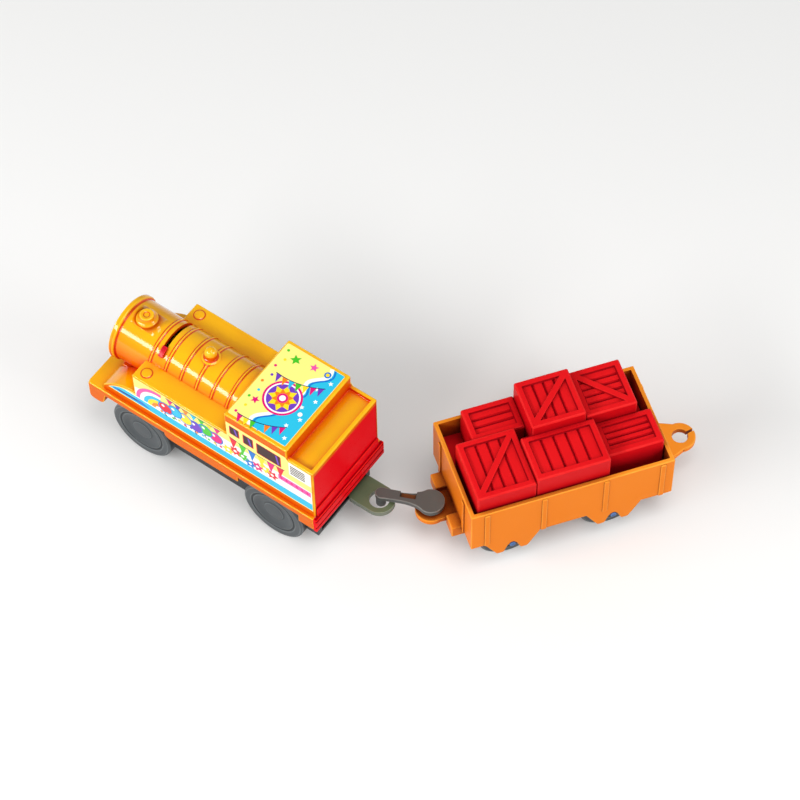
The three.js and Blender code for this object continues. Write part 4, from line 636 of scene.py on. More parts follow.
def print_on(name, shapes, along, level, outward, step=0.0015):
    """All the inks of one label as one sheet, each shape a little above the one before."""
    first, second, third = PLANE_OF[along]
    shape = bmesh.new()
    names = list(inks)
    for order, (ink, outline) in enumerate(shapes):
        corners = []
        for point in outline:
            place = [0, 0, 0]
            place[first] = point[0] * mm
            place[second] = point[1] * mm
            place[third] = (level + outward * step * (order + 1)) * mm
            corners.append(shape.verts.new(place))
        face = shape.faces.new(corners)
        face.material_index = names.index(ink)
        face.normal_update()
        if face.normal[third] * outward < 0:
            face.normal_flip()
    mesh = bpy.data.meshes.new(name)
    shape.to_mesh(mesh)
    shape.free()
    mesh.transform(loco_place)
    for ink in inks.values():
        mesh.materials.append(ink)
    sheet = bpy.data.objects.new(name, mesh)
    bpy.context.scene.collection.objects.link(sheet)
    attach(sheet, "loco")
    return sheet


bright = ["magenta", "yellow", "green", "sky", "orange", "violet"]
roof_x0, roof_x1, roof_y = 12.9, 37.9, 17.8
sky_edge = [(roof_x0 + 10.6 + 0.32 * y + 1.5 * math.sin(0.55 * y), y) for y in
            [roof_y - 2 * roof_y * step / 36 for step in range(37)]]
roof_shapes = [("sky", [(roof_x0, roof_y), (roof_x0, -roof_y)] + sky_edge[::-1])]
sky_line = [(x - 1.5, y) for x, y in sky_edge]
roof_shapes += [("white", stroke_of(sky_edge, 1.5)), ("blue", stroke_of(sky_line, 0.7))]
for index in range(7):
    roof_shapes.append(("white", star_of(roof_x0 + 2.2 + (index % 2) * 2.6, 15.2 - 4.6 * index, 1.0)))
for index in range(9):
    x = roof_x1 - 1.9 - (index % 2) * 1.3
    roof_shapes.append((bright[index % 6], disc_of(x, 15.8 - 3.9 * index, 0.55)))
rosette = (25.6, 2.2)
roof_shapes += [("magenta", disc_of(*rosette, 7.3, 48)), ("white", disc_of(*rosette, 6.5, 48)),
                ("violet", disc_of(*rosette, 5.9, 48)), ("yellow", star_of(*rosette, 5.6, 8, 0.62, 12)),
                ("orange", star_of(*rosette, 4.1, 8, 0.6, 34)), ("magenta", disc_of(*rosette, 2.0)),
                ("white", disc_of(*rosette, 1.2))]
roof_shapes += pennants((35.2, 16.2), (17.0, 11.2), 7, 3.4, bright, 1.6)
roof_shapes += pennants((34.0, -5.4), (15.4, -9.6), 7, 3.6, bright[::-1], 1.6)
roof_shapes += [("green", star_of(31.4, -13.6, 2.2)), ("pink", star_of(24.0, -14.6, 1.8, 5, 0.45, 70)),
                ("blue", disc_of(18.2, -14.8, 1.3)), ("yellow", disc_of(18.2, -14.8, 0.7)),
                ("magenta", star_of(33.2, 8.2, 1.7, 5, 0.45, 50)), ("white", disc_of(16.4, 4.2, 0.9))]
film_thickness = 0.15
roof_film = prism(rounded(oblong(12.7, 38.1, -18, 18), 0.8), "z", roof_top, roof_top + film_thickness)
fitted(roof_film, "roof_film", "loco", loco_place, film, ["roof_label"])
print_on("roof_print", roof_shapes, "z", roof_top + film_thickness, 1)

label_low = 35.0
label_front = tank_front + sweep_length - 3.4
stripe_top = 39.3


def side_shapes():
    """The inks on a side: a stripe along the foot, windows, vents, flags, balloons and a rainbow."""
    stripe = [(0.8, label_low + 0.05), (label_front, label_low + 0.05), (91.2, 37.0), (88.4, 38.6),
              (85.8, stripe_top), (0.8, stripe_top)]
    shapes = [("white", [(0.8, stripe_top), (80.6, stripe_top), (80.6, 46.0), (74.0, 47.6), (66.0, 46.6),
                         (58.0, 48.2), (50.0, 46.8), (42.0, 48.0), (0.8, 47.2)]),
              ("white", oblong(0.9, 10.5, 50.9, 58.9)), ("sky", stripe)]
    shapes.append(("blue", [(74.0, label_low + 0.9), (label_front - 1.4, label_low + 0.6), (90.6, 36.9),
                            (78.0, 37.8)]))
    shapes.append(("navy", [(80.0, 36.6), (90.0, 36.2), (88.8, 36.9), (81.0, 37.3)]))
    shapes.append(("white", stroke_of([(1.4, stripe_top + 0.15), (86.0, stripe_top + 0.15)], 0.4)))
    for x0, x1, z0, z1 in ((32.6, 36.4, 54.6, 59.2), (26.4, 30.4, 53.6, 58.8), (14.2, 24.4, 52.4, 58.6)):
        shapes.append(("red", rounded(oblong(x0 - 0.35, x1 + 0.35, z0 - 0.35, z1 + 0.35), 0.5)))
        shapes.append(("brown", rounded(oblong(x0, x1, z0, z1), 0.4)))
        shapes.append(("violet", [(x0 + 0.5, z0 + 0.5), (x0 + 1.3, z0 + 0.5), (x0 + 2.2, z1 - 0.5),
                                  (x0 + 1.4, z1 - 0.5)]))
    for index in range(5):
        z = 52.0 + 1.15 * index
        shapes.append(("brown", oblong(3.4, 9.9, z, z + 0.6)))
    shapes.append(("pink", oblong(1.2, 15.6, 43.6, 46.6)))
    for index in range(6):
        shapes.append(("magenta", star_of(2.7 + 2.3 * index, 45.1, 1.2, 4, 0.4, 90)))
    shapes += pennants((12.4, 51.6), (37.6, 52.0), 6, 6.4, ["red", "magenta", "yellow", "blue", "green"],
                       1.2)
    for index in range(7):
        x, z = 18.4 + 3.3 * index, 42.9 + 1.3 * math.sin(1.7 * index)
        flower = ["red", "yellow", "magenta", "blue", "green"][index % 5]
        shapes.append((flower, star_of(x, z, 2.9, 6, 0.55, 20 * index)))
        shapes.append(("white", disc_of(x, z, 0.75, 14)))
    for index, ink in enumerate(("pink", "white", "sky", "yellow", "orange")):
        shapes.append((ink, stroke_of(arc_path(69.4, 40.1, 10.1 - 1.8 * index, 0, 97), 1.7)))
    shapes += pennants((41.0, 51.5), (66.0, 51.4), 7, 3.2, bright, 0.6)
    for index, ink in enumerate(("magenta", "green", "violet", "yellow", "sky", "red")):
        x, z = 43.6 + 4.6 * index, 44.9 + 0.9 * math.sin(2.1 * index)
        shapes += [("navy", stroke_of([(x, z - 2.6), (x + 0.6, z - 4.0), (x - 0.2, z - 5.2)], 0.4)),
                   ("blue", disc_of(x, z, 3.3)), (ink, disc_of(x, z, 2.8)),
                   ("white", disc_of(x + 0.9, z + 1.0, 0.75, 14))]
    for index in range(11):
        x, z = 41.6 + 2.7 * index, 40.9 + 0.5 * math.sin(3 * index)
        shapes.append((bright[index % 6], disc_of(x, z, 0.6, 12)))
    return shapes


label_outline = [(0.7, label_low - 0.4), (0.7, 59.0), (10.6, 59.0), (12.0, 60.7), (38.1, 60.7), (38.1, 51.8),
                 (80.8, 51.8), (80.8, 40.7)]
label_outline += [bent((80.8, 40.7), (88.5, 40.7), (94.1, label_low - 0.4), step / 12)
                  for step in range(1, 13)]
for side, outward in (("left", 1), ("right", -1)):
    faces = sorted((outward * half_width, outward * (half_width + film_thickness)))
    fitted(prism(label_outline, "y", *faces), f"side_film_{side}", "loco", loco_place, film,
           [f"side_label_{side}"])
    print_on(f"side_print_{side}", side_shapes(), "y", outward * (half_width + film_thickness), outward)


# Switch: a lever turns on the boiler's axis inside, and only its bright red tab shows in the arc
# slot. The tab is pressed on the lever's neck.
# In these plastics the edge colour is a painted highlight and the crease colour is painted shade.
red_tab = plastic("red_tab", (196, 0, 30), (180, 0, 24), (236, 50, 50), (120, 0, 12), smooth=0.2,
                  rough=0.3, tint=(1, 0.4, 0.4), reach=0.6)
black_plastic = plastic("black_plastic", (34, 35, 38), (27, 28, 31), (60, 62, 66), (16, 16, 18),
                        smooth=0.42, rough=0.6, grain=1600, depth=0.2)
tab = softened(arc_slot(12.5, 13.5, 45.4, 64.6, slot_x - 1.3, slot_x + 0.7, steps=14), 0.18, 2)
fitted(tab, "switch_thumb_tab", "switch", loco_place, red_tab, ["switch_tab"])
frame["nodes"]["switch_lever"].material_slots[0].material = black_plastic


# Chassis: a black tub between the wheels on a plate that closes the body from below. The battery
# cover, the gear cover and the hook keeper are thin black plates held by small screws.
for black_piece in ("chassis", "gear_cover", "hook_keeper"):
    frame["nodes"][black_piece].material_slots[0].material = black_plastic
cover_low, cover_high = [point - loco_place.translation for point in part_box("battery_cover")]
cover_x0, cover_x1 = cover_low.x / mm, cover_high.x / mm
cover_y = cover_high.y / mm
cover_z0, cover_z1 = cover_low.z / mm, cover_high.z / mm
cover_screw_x = 87
cover = softened(prism(rounded(oblong(cover_x0, cover_x1, -cover_y, cover_y), 1.2), "z",
                       cover_z0, cover_z1), 0.2, 2)
cover_hole = rod(1, -3, 3, "z", (cover_screw_x, 0, cover_z0), 24)
grips = [softened(box(x - 0.4, x + 0.4, -4, 4, cover_z0 - 1, cover_z0 + 0.35), 0.15, 2)
         for x in (76.4, 78.0, 79.6, 81.2)]
cover = combined(cover, [cover_hole, *grips], "DIFFERENCE")
fitted(cover, "battery_door", "loco", loco_place, black_plastic, ["battery_cover"])


# Brushed metal: drawn or pressed steel and copper show fine scratches along the sheet.
metal_scratches, given, made = shader_group(
    "metal_scratches",
    [("Stretch", "Vector", (1, 1, 1)), ("Bright", "Float", 0.22), ("Dull", "Float", 0.4)],
    [("Roughness", "Float"), ("Height", "Float")])
where = node(metal_scratches, "TexCoord", {})
stretch = node(metal_scratches, "VectorMath", {0: where["Object"], 1: given["Stretch"]},
               operation="MULTIPLY")
lines = node(metal_scratches, "TexNoise", {"Vector": stretch[0], "Scale": 1400, "Detail": 3})
gloss = node(metal_scratches, "Mix", {0: lines["Fac"], 2: given["Bright"], 3: given["Dull"]})
fed(metal_scratches, made, {"Roughness": gloss[0], "Height": lines["Fac"]})


def metal(name, colour, bright, dull, stretch=(1, 0.06, 1)):
    """A bare metal with fine scratches."""
    finish, tree, surface = new_finish(name)
    scratches = node(tree, "Group", {"Stretch": stretch, "Bright": bright, "Dull": dull},
                     node_tree=metal_scratches)
    bump = node(tree, "Bump", {"Height": scratches["Height"], "Strength": 0.12, "Distance": 0.03 * mm})
    fed(tree, surface, {"Metallic": 1, "Base Color": colour_of(*colour),
                        "Roughness": scratches["Roughness"], "Normal": bump["Normal"]})
    return finish


# Screws: zinc-plated pan heads with a cross recess, three long ones that hold the body on the
# chassis, one in the battery cover and two in the hook keeper. Their shanks stay out of sight.
zinc = metal("zinc_plate", (196, 200, 204), 0.2, 0.36)
head_height = 1.1


def pan_screw(name, node, head, shank, body="loco"):
    """A screw in the place of its CAD node: head below, shank up."""
    low, high = [point - loco_place.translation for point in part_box(node)]
    x, y = (low.x + high.x) / 2 / mm, (low.y + high.y) / 2 / mm
    z0, z1 = low.z / mm, high.z / mm
    reach = z1 - z0
    made = turned(rounded([(0, 0), (head * 0.72, 0, 0.5), (head, head_height * 0.55, 0.4),
                           (head, head_height, 0.12), (shank, head_height, 0.1), (shank, reach - 0.6, 0.3),
                           (0, reach)], steps=4), "z", (x, y, z0), sides=40)
    crosses = [box(x - across, x + across, y - along, y + along, z0 - 2, z0 + 0.5)
               for across, along in ((0.85, 0.22), (0.22, 0.85))]
    made = combined(made, crosses, "DIFFERENCE")
    return fitted(made, name, body, loco_place, zinc, [node])


for screw in ("shell_screw_rear", "shell_screw_left", "shell_screw_right"):
    pan_screw(screw.replace("shell", "body"), screw, 2.0, 0.95)
for screw in ("cover_screw", "keeper_screw_left", "keeper_screw_right"):
    pan_screw(screw + "_head", screw, 1.8, 0.8)


# Locomotive wheels: grey plastic with a wide flat rim, a recessed ring and a stepped hub, pressed
# on steel axles. The rear pair wears black rubber tyres, because it drives.
# In these plastics the edge colour is a painted highlight and the crease colour is painted shade.
grey_wheel = plastic("grey_wheel", (74, 79, 82), (64, 68, 70), (118, 124, 126), (38, 42, 44),
                     smooth=0.38, rough=0.56, grain=1500, depth=0.16, highlight_share=0.9, gleam=0.3, reach=1.6)
rubber = plastic("tyre_rubber", (58, 59, 60), (50, 51, 52), (84, 85, 86), (30, 30, 31),
                 smooth=0.6, rough=0.8, grain=2600, depth=0.35)
axle_steel = metal("axle_steel", (190, 192, 196), 0.16, 0.3)


def wheel(radius, width, bore, tyre_depth):
    """The profile of a wheel, from its inner face at 0 to its outer face at width."""
    low, high = 0.16 * width, 0.68 * width
    tread = [(radius, 0, 0.3), (radius, low, 0.08), (radius - tyre_depth, low, 0.08),
             (radius - tyre_depth, high, 0.08), (radius, high, 0.08)] if tyre_depth else [(radius, 0, 0.3)]
    return rounded([
        (bore, 0), *tread, (radius, width - 0.6, 0.5), (radius - 0.8, width, 0.5),
        (radius * 0.76, width, 0.5), (radius * 0.73, width - 0.5, 0.35),
        (radius * 0.7, width - 0.5, 0.35), (radius * 0.67, width - 0.1, 0.5),
        (radius * 0.62, width - 0.1, 0.6), (radius * 0.46, width * 0.78, 1.5),
        (radius * 0.34, width * 0.78, 0.6), (radius * 0.3, width * 0.88, 0.6),
        (radius * 0.14, width * 0.9, 0.5), (0, width * 0.92), (0, width * 0.8), (bore, width * 0.8),
    ], steps=4)


def set_on_axle(profile, side, x, inner_y, z, place, name, body, finish, node):
    """A turned piece on an axle: its profile runs outwards on the given side."""
    outward = [(radius, side * (inner_y + height)) for radius, height in profile]
    made = turned(outward, "y", (x, 0, z), bored=True)
    return fitted(made, name, body, place, finish, [node])


def axle(radius, reach, x, z, place, name, body, finish, node):
    """A round bar through both wheels with softly domed ends."""
    made = turned(rounded([(0, -reach), (radius, -reach, 0.35), (radius, reach, 0.35), (0, reach)], steps=4),
                  "y", (x, 0, z), sides=40)
    return fitted(made, name, body, place, finish, [node])


wheel_radius = 13.3
wheel_width = 4.4
wheel_bore = 1.32
wheel_inner_y = 14.2
tyre_depth = 1.0
rear_axle_x = 20.7
front_axle_x = 81.8
axle_radius = 1.2
axle_reach = 17.6
tyre = rounded([(12.4, 0.8, 0.1), (13.3, 0.8, 0.25), (13.3, 2.9, 0.25), (12.4, 2.9, 0.1)], steps=3)
for side_name, side in (("left", 1), ("right", -1)):
    set_on_axle(wheel(wheel_radius, wheel_width, wheel_bore, tyre_depth), side, rear_axle_x, wheel_inner_y,
                wheel_radius, loco_place, f"drive_wheel_{side_name}", "drive_axle", grey_wheel,
                f"rear_wheel_{side_name}")
    set_on_axle(wheel(wheel_radius, wheel_width, wheel_bore, 0), side, front_axle_x, wheel_inner_y,
                wheel_radius, loco_place, f"leading_wheel_{side_name}", "front_wheel_set", grey_wheel,
                f"front_wheel_{side_name}")
    set_on_axle(tyre, side, rear_axle_x, wheel_inner_y, wheel_radius, loco_place,
                f"grip_tyre_{side_name}", "drive_axle", rubber, f"rear_tyre_{side_name}")
axle(axle_radius, axle_reach, rear_axle_x, wheel_radius, loco_place, "drive_axle_bar", "drive_axle",
     axle_steel, "rear_axle")
axle(axle_radius, axle_reach, front_axle_x, wheel_radius, loco_place, "leading_axle_bar",
     "front_wheel_set", axle_steel, "front_axle")


# Drive and battery: the pieces that the body hides. White gears between the plates, a plated
# motor can, one sleeved cell between a copper strip and a wire spring, and two insulated leads.
# In these plastics the edge colour is a painted highlight and the crease colour is painted shade.
white_gear = plastic("white_gear", (232, 230, 222), (222, 219, 208), (246, 245, 240), (180, 176, 164),
                     smooth=0.3, rough=0.45, grain=1800)
plated_steel = metal("plated_steel", (188, 191, 196), 0.18, 0.34, (0.1, 1, 1))
copper_strip = metal("copper_strip", (196, 132, 84), 0.22, 0.4)
cell_sleeve = plastic("cell_sleeve", (34, 92, 172), (28, 78, 152), (90, 140, 205), (20, 50, 110),
                      smooth=0.2, rough=0.3, coat=0.3)
red_lead = plastic("red_lead", (196, 24, 26), (176, 16, 20), (222, 70, 60), (120, 8, 10), smooth=0.4,
                   rough=0.55)
black_lead = plastic("black_lead", (30, 30, 32), (24, 24, 26), (60, 60, 62), (16, 16, 18), smooth=0.4,
                     rough=0.55)
hidden_finishes = {
    "axle_gear": white_gear, "idler_gear": white_gear, "motor_pinion": white_gear,
    "motor_end_cap": white_gear, "motor_can": plated_steel, "motor_shaft": plated_steel,
    "motor_strap": plated_steel, "idler_pin": axle_steel, "aa_cell": cell_sleeve,
    "battery_contact": copper_strip, "switch_leaf": copper_strip, "battery_spring": plated_steel,
    "lead_battery": red_lead, "lead_switch": black_lead,
}
for hidden_piece, finish in hidden_finishes.items():
    frame["nodes"][hidden_piece].material_slots[0].material = finish


# Rear hook: an olive-grey plastic eye with a mouth on one side. Its block slides sideways in the
# chassis, so that the train can take a bend.
# The low colour is painted shade on upright and downward faces, the edge colour a painted highlight and the
# crease colour painted shade.
hook_grey = plastic("hook_grey", (116, 130, 96), (104, 116, 86), (170, 178, 156), (52, 58, 42),
                    smooth=0.36, rough=0.52, low=(106, 114, 100), grain=1400, depth=0.15, reach=1.5)
hook_floor = 13.0
ring_top = 15.4
hook_width = 5.95
hook_outline = arc_path(0, 0, hook_width, 270, 90, 48)
hook_outline += rounded([(0.1, hook_width), (10.1, hook_width, 1.6), (10.1, -hook_width, 1.6),
                         (0.1, -hook_width)], steps=6)
hook_neck = box(8.6, 13.2, -4.5, 4.5, hook_floor, ring_top)
hook_tail = softened(box(11.9, 14.5, -5.4, 5.4, hook_floor, ring_top), 0.2, 2)
eye_bore = rod(3.8, -3, 6, "z", (0, 0, hook_floor), 64)
mouth_points = [(0, 0)] + arc_path(0, 0, 12, 201, 240, 2)
hook = prism(hook_outline, "z", hook_floor, ring_top)
hook = combined(hook, [eye_bore, prism(mouth_points, "z", hook_floor - 2, ring_top + 2)], "DIFFERENCE")
hook = softened(hook, 0.4)
hook = combined(hook, [hook_neck, hook_tail], "UNION")
fitted(hook, "sliding_hook", "hook", hook_place, hook_grey, ["rear_hook"])


# Coupling link: a grey bar that lies over hook and ring. A peg at one end drops in the hook's
# eye, the disc at the other covers the wagon's ring, and a pin is pressed in it from below.
# The low colour is painted shade on upright and downward faces, the edge colour a painted highlight, and the
# brownish crease colour is painted shade tinted by the orange nearby.
link_grey = plastic("link_grey", (94, 96, 92), (82, 82, 78), (150, 152, 146), (70, 56, 36),
                    smooth=0.34, rough=0.5, low=(66, 68, 66), grain=1400, depth=0.15, gleam=0.4, reach=1.6)
link_length = 19.2
link_bottom = 18.0
link_thickness = 2.2
disc_radius = 5.1
nose_x = -0.9
nose_radius = 2.4
waist_half = 2.1


def link_outline():
    """The link in plan, as one line: round nose, waist, and the disc at the far end."""
    edge = link_length - disc_radius
    nose_arc = arc_path(nose_x, 0, nose_radius, -90, 90, 16)
    waist = []
    thinnest = (-edge / 2, waist_half)
    for start, middle, end in (((nose_x, nose_radius), (-edge / 4, waist_half), thinnest),
                               (thinnest, (-edge, waist_half), (disc_radius / 2 - link_length, 4.4))):
        waist += [bent(start, middle, end, step / 10) for step in range(1, 10)]
    disc_arc = arc_path(-link_length, 0, disc_radius, 60, 300, 48)
    return nose_arc + waist + disc_arc + [(x, -y) for x, y in reversed(waist)]


link = softened(prism(link_outline(), "z", link_bottom, link_bottom + link_thickness), 0.3, 3, 50)
recess = softened(box(-13.6, -7.6, -6, 0.5, link_bottom + link_thickness - 1.2, link_bottom + 6), 0.2, 2)
link_boss = turned(rounded([(0, 0), (3.9, 0, 0.2), (3.9, 3.4), (0, 3.4)]), "z",
                   (-link_length, 0, ring_top + 0.3), sides=64)
peg = turned(rounded([(0, 0), (1.9, 0, 0.5), (1.9, 6.1), (0, 6.1)]), "z", (-0.6, 0, hook_floor), sides=48)
pin_bore = rod(1.57, -4, 6.1, "z", (-link_length, 0, hook_floor), 40)
link = combined(link, [recess], "DIFFERENCE")
link = combined(link, [link_boss, peg], "UNION")
link = combined(link, [pin_bore], "DIFFERENCE")
fitted(link, "coupling_bar", "link", link_place, link_grey, ["coupling_link"])
# A thin brown sheet lies in the link's recess. Its brown is painted shade, tinted by the orange parts
# nearby; the sheet is no part of the toy.
recess_shade_brown = plastic("recess_shade_brown", (112, 62, 16), (98, 52, 12), (140, 92, 50), (60, 32, 10), smooth=0.4,
                       rough=0.55, grain=1400, gleam=0.3, reach=1)
shade_sheet = softened(box(-13.3, -7.9, -1.8, 0.25, link_bottom + 0.9, link_bottom + 1.15), 0.08, 2)
fitted(shade_sheet, "recess_shade_sheet", "link", link_place, recess_shade_brown)
pin = turned(rounded([(0, 12.1), (2.6, 12.1, 0.4), (2.6, 15.4, 0.2), (1.45, 15.4), (1.45, 18.6, 0.2),
                      (0, 18.66)]), "z", (-link_length, 0, 0), sides=48)
fitted(pin, "coupling_pin", "link", link_place, link_grey, ["link_pin"])


# Wagon tray: an open box in orange plastic with a thin rim, upright ribs, W-shaped axle guards
# and a coupling ring at each end. The rear ring is slit, so that a link's pin snaps in.
# The low colour is painted shade on upright and downward faces, the edge colour a painted highlight and the
# dark red crease colour painted shade.
orange_wagon = plastic("orange_wagon", (252, 156, 48), (246, 146, 38), (255, 184, 78), (106, 16, 12),
                       smooth=0.28, rough=0.42, low=(230, 120, 22), grain=1200, depth=0.1,
                       tint=(1, 0.7, 0.4), highlight_share=0.7, gleam=0.05, reach=7)
tray_length = 77.6
tray_half = 21.6
tray_wall = 1.5
tray_rim = 37.2
tray_floor = 25.2
side_bottom = 15.6
guard_low = 7.2
guard_places = (22.6, 61.6)
tray_axle_z = 11.5
ring_radius = 5.9
ring_bore = 3.0


def guard_outline(x):
    """One axle guard: a W whose middle notch leaves the axle's end free."""
    return rounded([
        (x - 10.6, side_bottom + 1.5), (x - 10.6, side_bottom, 0.6), (x - 5.9, guard_low, 0.7),
        (x - 3.3, guard_low, 0.7), (x - 1.6, tray_axle_z), (x + 1.6, tray_axle_z), (x + 3.3, guard_low, 0.7),
        (x + 5.9, guard_low, 0.7), (x + 10.6, side_bottom, 0.6), (x + 10.6, side_bottom + 1.5)], steps=4)


def coupling_ring(x, direction, foot):
    """A flat ring on a tapering web, at hook height."""
    wall = tray_length if direction > 0 else 0
    web = softened(prism([(wall - 4 * direction, -foot), (wall, -foot), (x, -ring_radius + 0.35),
                          (x, ring_radius - 0.35), (wall, foot), (wall - 4 * direction, foot)],
                         "z", hook_floor, ring_top), 0.35)
    ring = turned(rounded([(ring_bore, 0, 0.2), (ring_radius, 0, 0.35), (ring_radius, 2.4, 0.5),
                           (ring_bore, 2.4, 0.4)]), "z", (x, 0, hook_floor), sides=80, bored=True)
    hole = rod(ring_bore, -3, 6, "z", (x, 0, hook_floor), 80)
    web = combined(web, [hole], "DIFFERENCE")
    return combined(web, [ring], "UNION")


tray = softened(box(0, tray_length, -tray_half, tray_half, side_bottom, tray_rim), 0.4)
tray_parts = [coupling_ring(tray_length + 8, 1, 5.9), coupling_ring(-11.5, -1, 10.5)]
for side in (-1, 1):
    faces = sorted((side * (tray_half - tray_wall), side * tray_half))
    tray_parts += [softened(prism(guard_outline(x), "y", *faces), 0.25, 2) for x in guard_places]
    ribs = sorted((side * (tray_half - 0.9), side * (tray_half + 0.4)))
    tray_parts += [softened(box(x - 1.05, x + 1.05, *ribs, side_bottom + 0.1, tray_rim - 0.9), 0.38)
                   for x in (4.5, 26.2, 49.8, 71.5)]
    tray_parts += [softened(box(x0, x1, side * 13 - 1.05, side * 13 + 1.05, side_bottom,
                                tray_rim - 1.6), 0.3)
                   for x0, x1 in ((-0.6, 0.7), (tray_length - 0.7, tray_length + 0.6))]
    stub = sorted((side * 5.8, side * 12.4))
    tray_parts.append(softened(box(tray_length - 0.7, tray_length + 4.2, *stub, 12, 17.6), 0.45))
tray_parts += [softened(box(x0, x1, -12.4, 12.4, 12, 17), 0.3)
               for x0, x1 in ((0.05, tray_wall), (tray_length - tray_wall, tray_length - 0.05))]
slit_turn = math.radians(191)
slit = box(0, 12, -0.5, 0.5, hook_floor - 3, ring_top + 3)
slit.data.transform(Matrix.Translation((-11.5 * mm, 0, 0)) @ Matrix.Rotation(slit_turn, 4, "Z"))
inner_x, inner_y = tray_length - tray_wall, tray_half - tray_wall
tray_cuts = [softened(box(tray_wall, inner_x, -inner_y, inner_y, tray_floor, tray_rim + 4), 0.3, 2)]
below = box(tray_wall, inner_x, -inner_y, inner_y, 0, tray_floor - 1.4)
below = combined(below, [box(-5, 4, -10.5, 10.5, -5, ring_top),
                         box(tray_length - 4, 90, -5.9, 5.9, -5, ring_top)], "DIFFERENCE")
tray_cuts += [below, slit]
tray_cuts += [rod(1.35, -30, 30, "y", (x, 0, tray_axle_z), 40) for x in guard_places]
tray = combined(tray, tray_parts, "UNION")
tray = combined(tray, tray_cuts, "DIFFERENCE")
fitted(tray, "tray_moulding", "wagon", wagon_place, orange_wagon, ["wagon_tray"])


# Wagon wheels: the same grey plastic, smaller and without tyres, on dark blue plastic axles whose
# ends show in the notches of the axle guards.
# The edge colour is a painted highlight and the crease colour is painted shade.
blue_axle = plastic("blue_axle", (38, 84, 144), (30, 70, 126), (90, 140, 196), (18, 44, 90), smooth=0.34,
                    rough=0.48, reach=0.6)
tray_wheel = wheel(radius=11.5, width=4, bore=1.22, tyre_depth=0)
tray_wheel_inner_y = 13.8
tray_axle_radius = 1.15
tray_axle_reach = 22.1
for end, x in zip(("rear", "front"), guard_places):
    body = f"wagon_{end}_wheel_set"
    for side_name, side in (("left", 1), ("right", -1)):
        set_on_axle(tray_wheel, side, x, tray_wheel_inner_y, tray_axle_z, wagon_place,
                    f"tray_wheel_{end}_{side_name}", body, grey_wheel,
                    f"wagon_{end}_wheel_{side_name}")
    axle(tray_axle_radius, tray_axle_reach, x, tray_axle_z, wagon_place, f"tray_axle_{end}", body,
         blue_axle, f"wagon_{end}_axle")


# Crate load: six slatted crates of different heights in one red moulding that lifts out. Each has
# a raised frame, grooved slats and, on some, a brace from corner to corner.
# The low colour is painted shade on upright and downward faces, the edge colour a painted highlight and the
# dark crease colour painted shade in the grooves and corners.
crate_red = plastic("crate_red", (224, 26, 30), (216, 20, 26), (238, 54, 50), (128, 2, 14),
                    smooth=0.3, rough=0.42, low=(206, 12, 22), grain=1300, depth=0.1,
                    tint=(1, 0.4, 0.4), highlight_share=0.7, gleam=0.06, reach=6, deepness=0.7)
crate_floor = tray_floor + 0.3
crate_frame = 2.3
panel_depth = 0.8
load_inset, load_long, load_wide, load_high = 2.1, 73.4, 39.0, 26.2
crate_shares = [
    (0.6226, 0, 0.2752, 0.3615, 0.695, 3, "x", 0),
    (0.3392, 0, 0.2834, 0.5256, 1, 4, "y", 1),
    (0.0695, 0, 0.2697, 0.515, 0.87, 5, "x", -1),
    (0.6826, 0.3564, 0.3052, 0.6436, 0.744, 4, "y", 1),
    (0.3011, 0.5154, 0.3815, 0.4846, 0.817, 5, "y", 0),
    (0, 0.5154, 0.3011, 0.3795, 0.649, 4, "x", 0),
]


def crate_solid(x, y, long, wide, high, slats, along, slant):
    """A crate: its block, its sunken panel, the grooves between its slats, and its brace.

    Its corner and size are shares of the whole load. Its slats lie along one axis, and its brace
    slants one way, the other way, or is left out at 0."""
    x0, y0 = load_inset + x * load_long, (y - 0.5) * load_wide
    x1, y1 = x0 + long * load_long, y0 + wide * load_wide
    top = crate_floor + high * load_high
    made = softened(box(x0 + 0.02, x1 - 0.02, y0 + 0.02, y1 - 0.02, crate_floor, top), 0.7)
    px0, px1, py0, py1 = x0 + crate_frame, x1 - crate_frame, y0 + crate_frame, y1 - crate_frame
    sunk = top - panel_depth
    well = softened(box(px0, px1, py0, py1, sunk, top + 3), 0.35)
    made = combined(made, [well], "DIFFERENCE")
    start, end = (py0, py1) if along == "x" else (px0, px1)
    reach = (px0 + 0.3, px1 - 0.3) if along == "x" else (py0 + 0.3, py1 - 0.3)
    grooves = []
    for index in range(1, slats):
        middle = start + (end - start) * index / slats
        groove = [(middle - 0.7, sunk + 0.1), (middle - 0.2, sunk - 0.6), (middle + 0.2, sunk - 0.6),
                  (middle + 0.7, sunk + 0.1)]
        grooves.append(prism(groove, along, *reach))
    made = combined(made, grooves, "DIFFERENCE")
    if slant:
        ya, yb = (py0, py1) if slant > 0 else (py1, py0)
        half = Vector((-(yb - ya), px1 - px0)).normalized() * crate_frame / 2
        strip = [(px0 - half.x, ya - half.y), (px1 - half.x, yb - half.y), (px1 + half.x, yb + half.y),
                 (px0 + half.x, ya + half.y)]
        brace = softened(prism(strip, "z", sunk - 1, top), 0.2, 2)
        bounds = box(px0 - 0.5, px1 + 0.5, py0 - 0.5, py1 + 0.5, sunk - 2, top + 1)
        brace = combined(brace, [bounds], "INTERSECT")
        made = combined(made, [brace], "UNION")
    return made


load = box(load_inset, tray_length - load_inset, load_inset - tray_half, tray_half - load_inset,
           crate_floor, crate_floor + 3)
load = combined(load, [crate_solid(*crate) for crate in crate_shares], "UNION")
fitted(load, "crate_moulding", "load", wagon_place, crate_red, ["crate_load"])


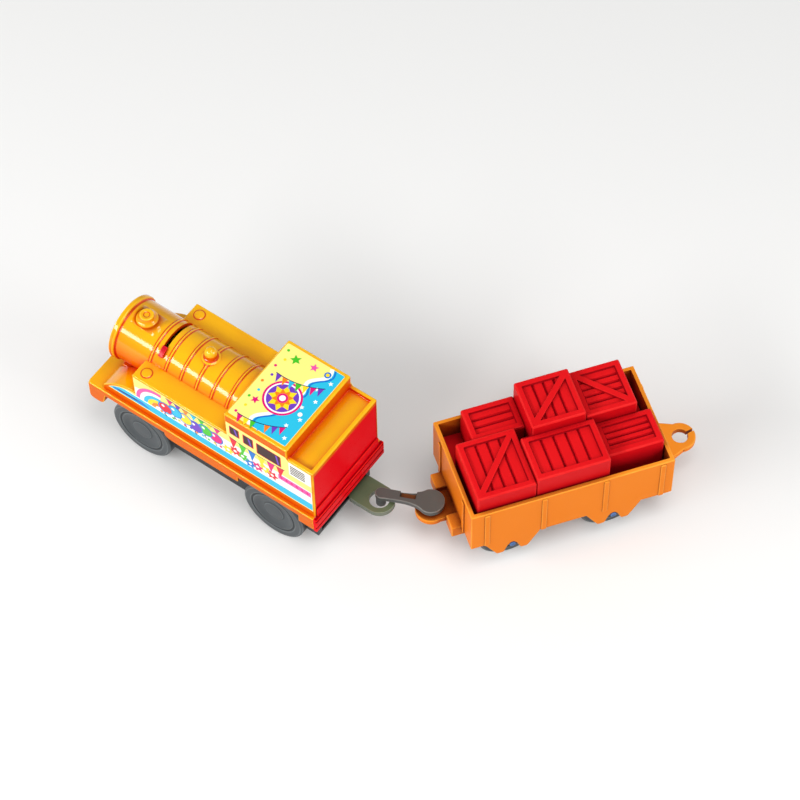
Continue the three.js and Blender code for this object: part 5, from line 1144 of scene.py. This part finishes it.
# Studio: a pale floor, an even pale surround, a long lamp on the near side that draws the bright
# line along the boiler, one from above and a softer one from behind. The camera stands where the picture was
# taken, above the train's left rear corner, and looks at the middle of the train.
floor_shape = bmesh.new()
bmesh.ops.create_grid(floor_shape, x_segments=1, y_segments=1, size=3)
floor = as_object(floor_shape, "studio_floor")
floor_finish, floor_tree, floor_surface = new_finish("studio_floor")
seen_by = node(floor_tree, "LightPath", {})
seen = seen_by["Is Camera Ray"]
for ray in ("Is Glossy Ray", "Is Transmission Ray"):
    seen = node(floor_tree, "Math", {0: seen, 1: seen_by[ray]}, operation="MAXIMUM")[0]
paleness = node(floor_tree, "Math", {0: seen, 1: 0.1}, operation="MULTIPLY")
fed(floor_tree, floor_surface, {"Base Color": (0.8, 0.8, 0.79, 1), "Roughness": 0.7,
                                "Emission Color": (1, 1, 1, 1), "Emission Strength": paleness[0]})
floor.data.materials.append(floor_finish)

train_middle = (cad_low + cad_high) / 2


def lamp(name, place, size, power):
    """A soft lamp, long and high as given, that faces the middle of the train."""
    light = bpy.data.lights.new(name, "AREA")
    light.shape = "RECTANGLE"
    light.size, light.size_y = size
    light.energy = power
    made = bpy.data.objects.new(name, light)
    made.location = train_middle + Vector(place)
    made.rotation_mode = "QUATERNION"
    made.rotation_quaternion = (-Vector(place)).to_track_quat("-Z", "Y")
    bpy.context.scene.collection.objects.link(made)
    return made


lamp("strip_lamp", (0.33, 0.76, 0.49), (0.95, 0.19), 7.2)
lamp("key_lamp", (-0.3, 0.1, 1.05), (0.6, 0.6), 4.4)
lamp("rear_lamp", (-0.95, -0.1, 0.42), (0.5, 0.5), 4.2)
world = bpy.data.worlds.new("studio_surround")
world.use_nodes = True
world.node_tree.nodes["Background"].inputs["Color"].default_value = (1, 1, 1, 1)
world.node_tree.nodes["Background"].inputs["Strength"].default_value = 0.32
bpy.context.scene.world = world

camera_in_loco_frame = Vector((-351.6, 443.1, 955.1)) * mm
camera_data = bpy.data.cameras.new("camera")
camera_data.sensor_width = 36
camera_data.lens = 135
camera = bpy.data.objects.new("camera", camera_data)
camera.location = loco_place @ camera_in_loco_frame
camera.rotation_mode = "QUATERNION"
aim = Vector((train_middle.x, train_middle.y, 0.03))
camera_roll = Matrix.Rotation(math.radians(-1.13), 4, "Z").to_quaternion()
camera.rotation_quaternion = (aim - camera.location).to_track_quat("-Z", "Y") @ camera_roll
bpy.context.scene.collection.objects.link(camera)
bpy.context.scene.camera = camera
bpy.context.scene.view_settings.view_transform = "Standard"

import json
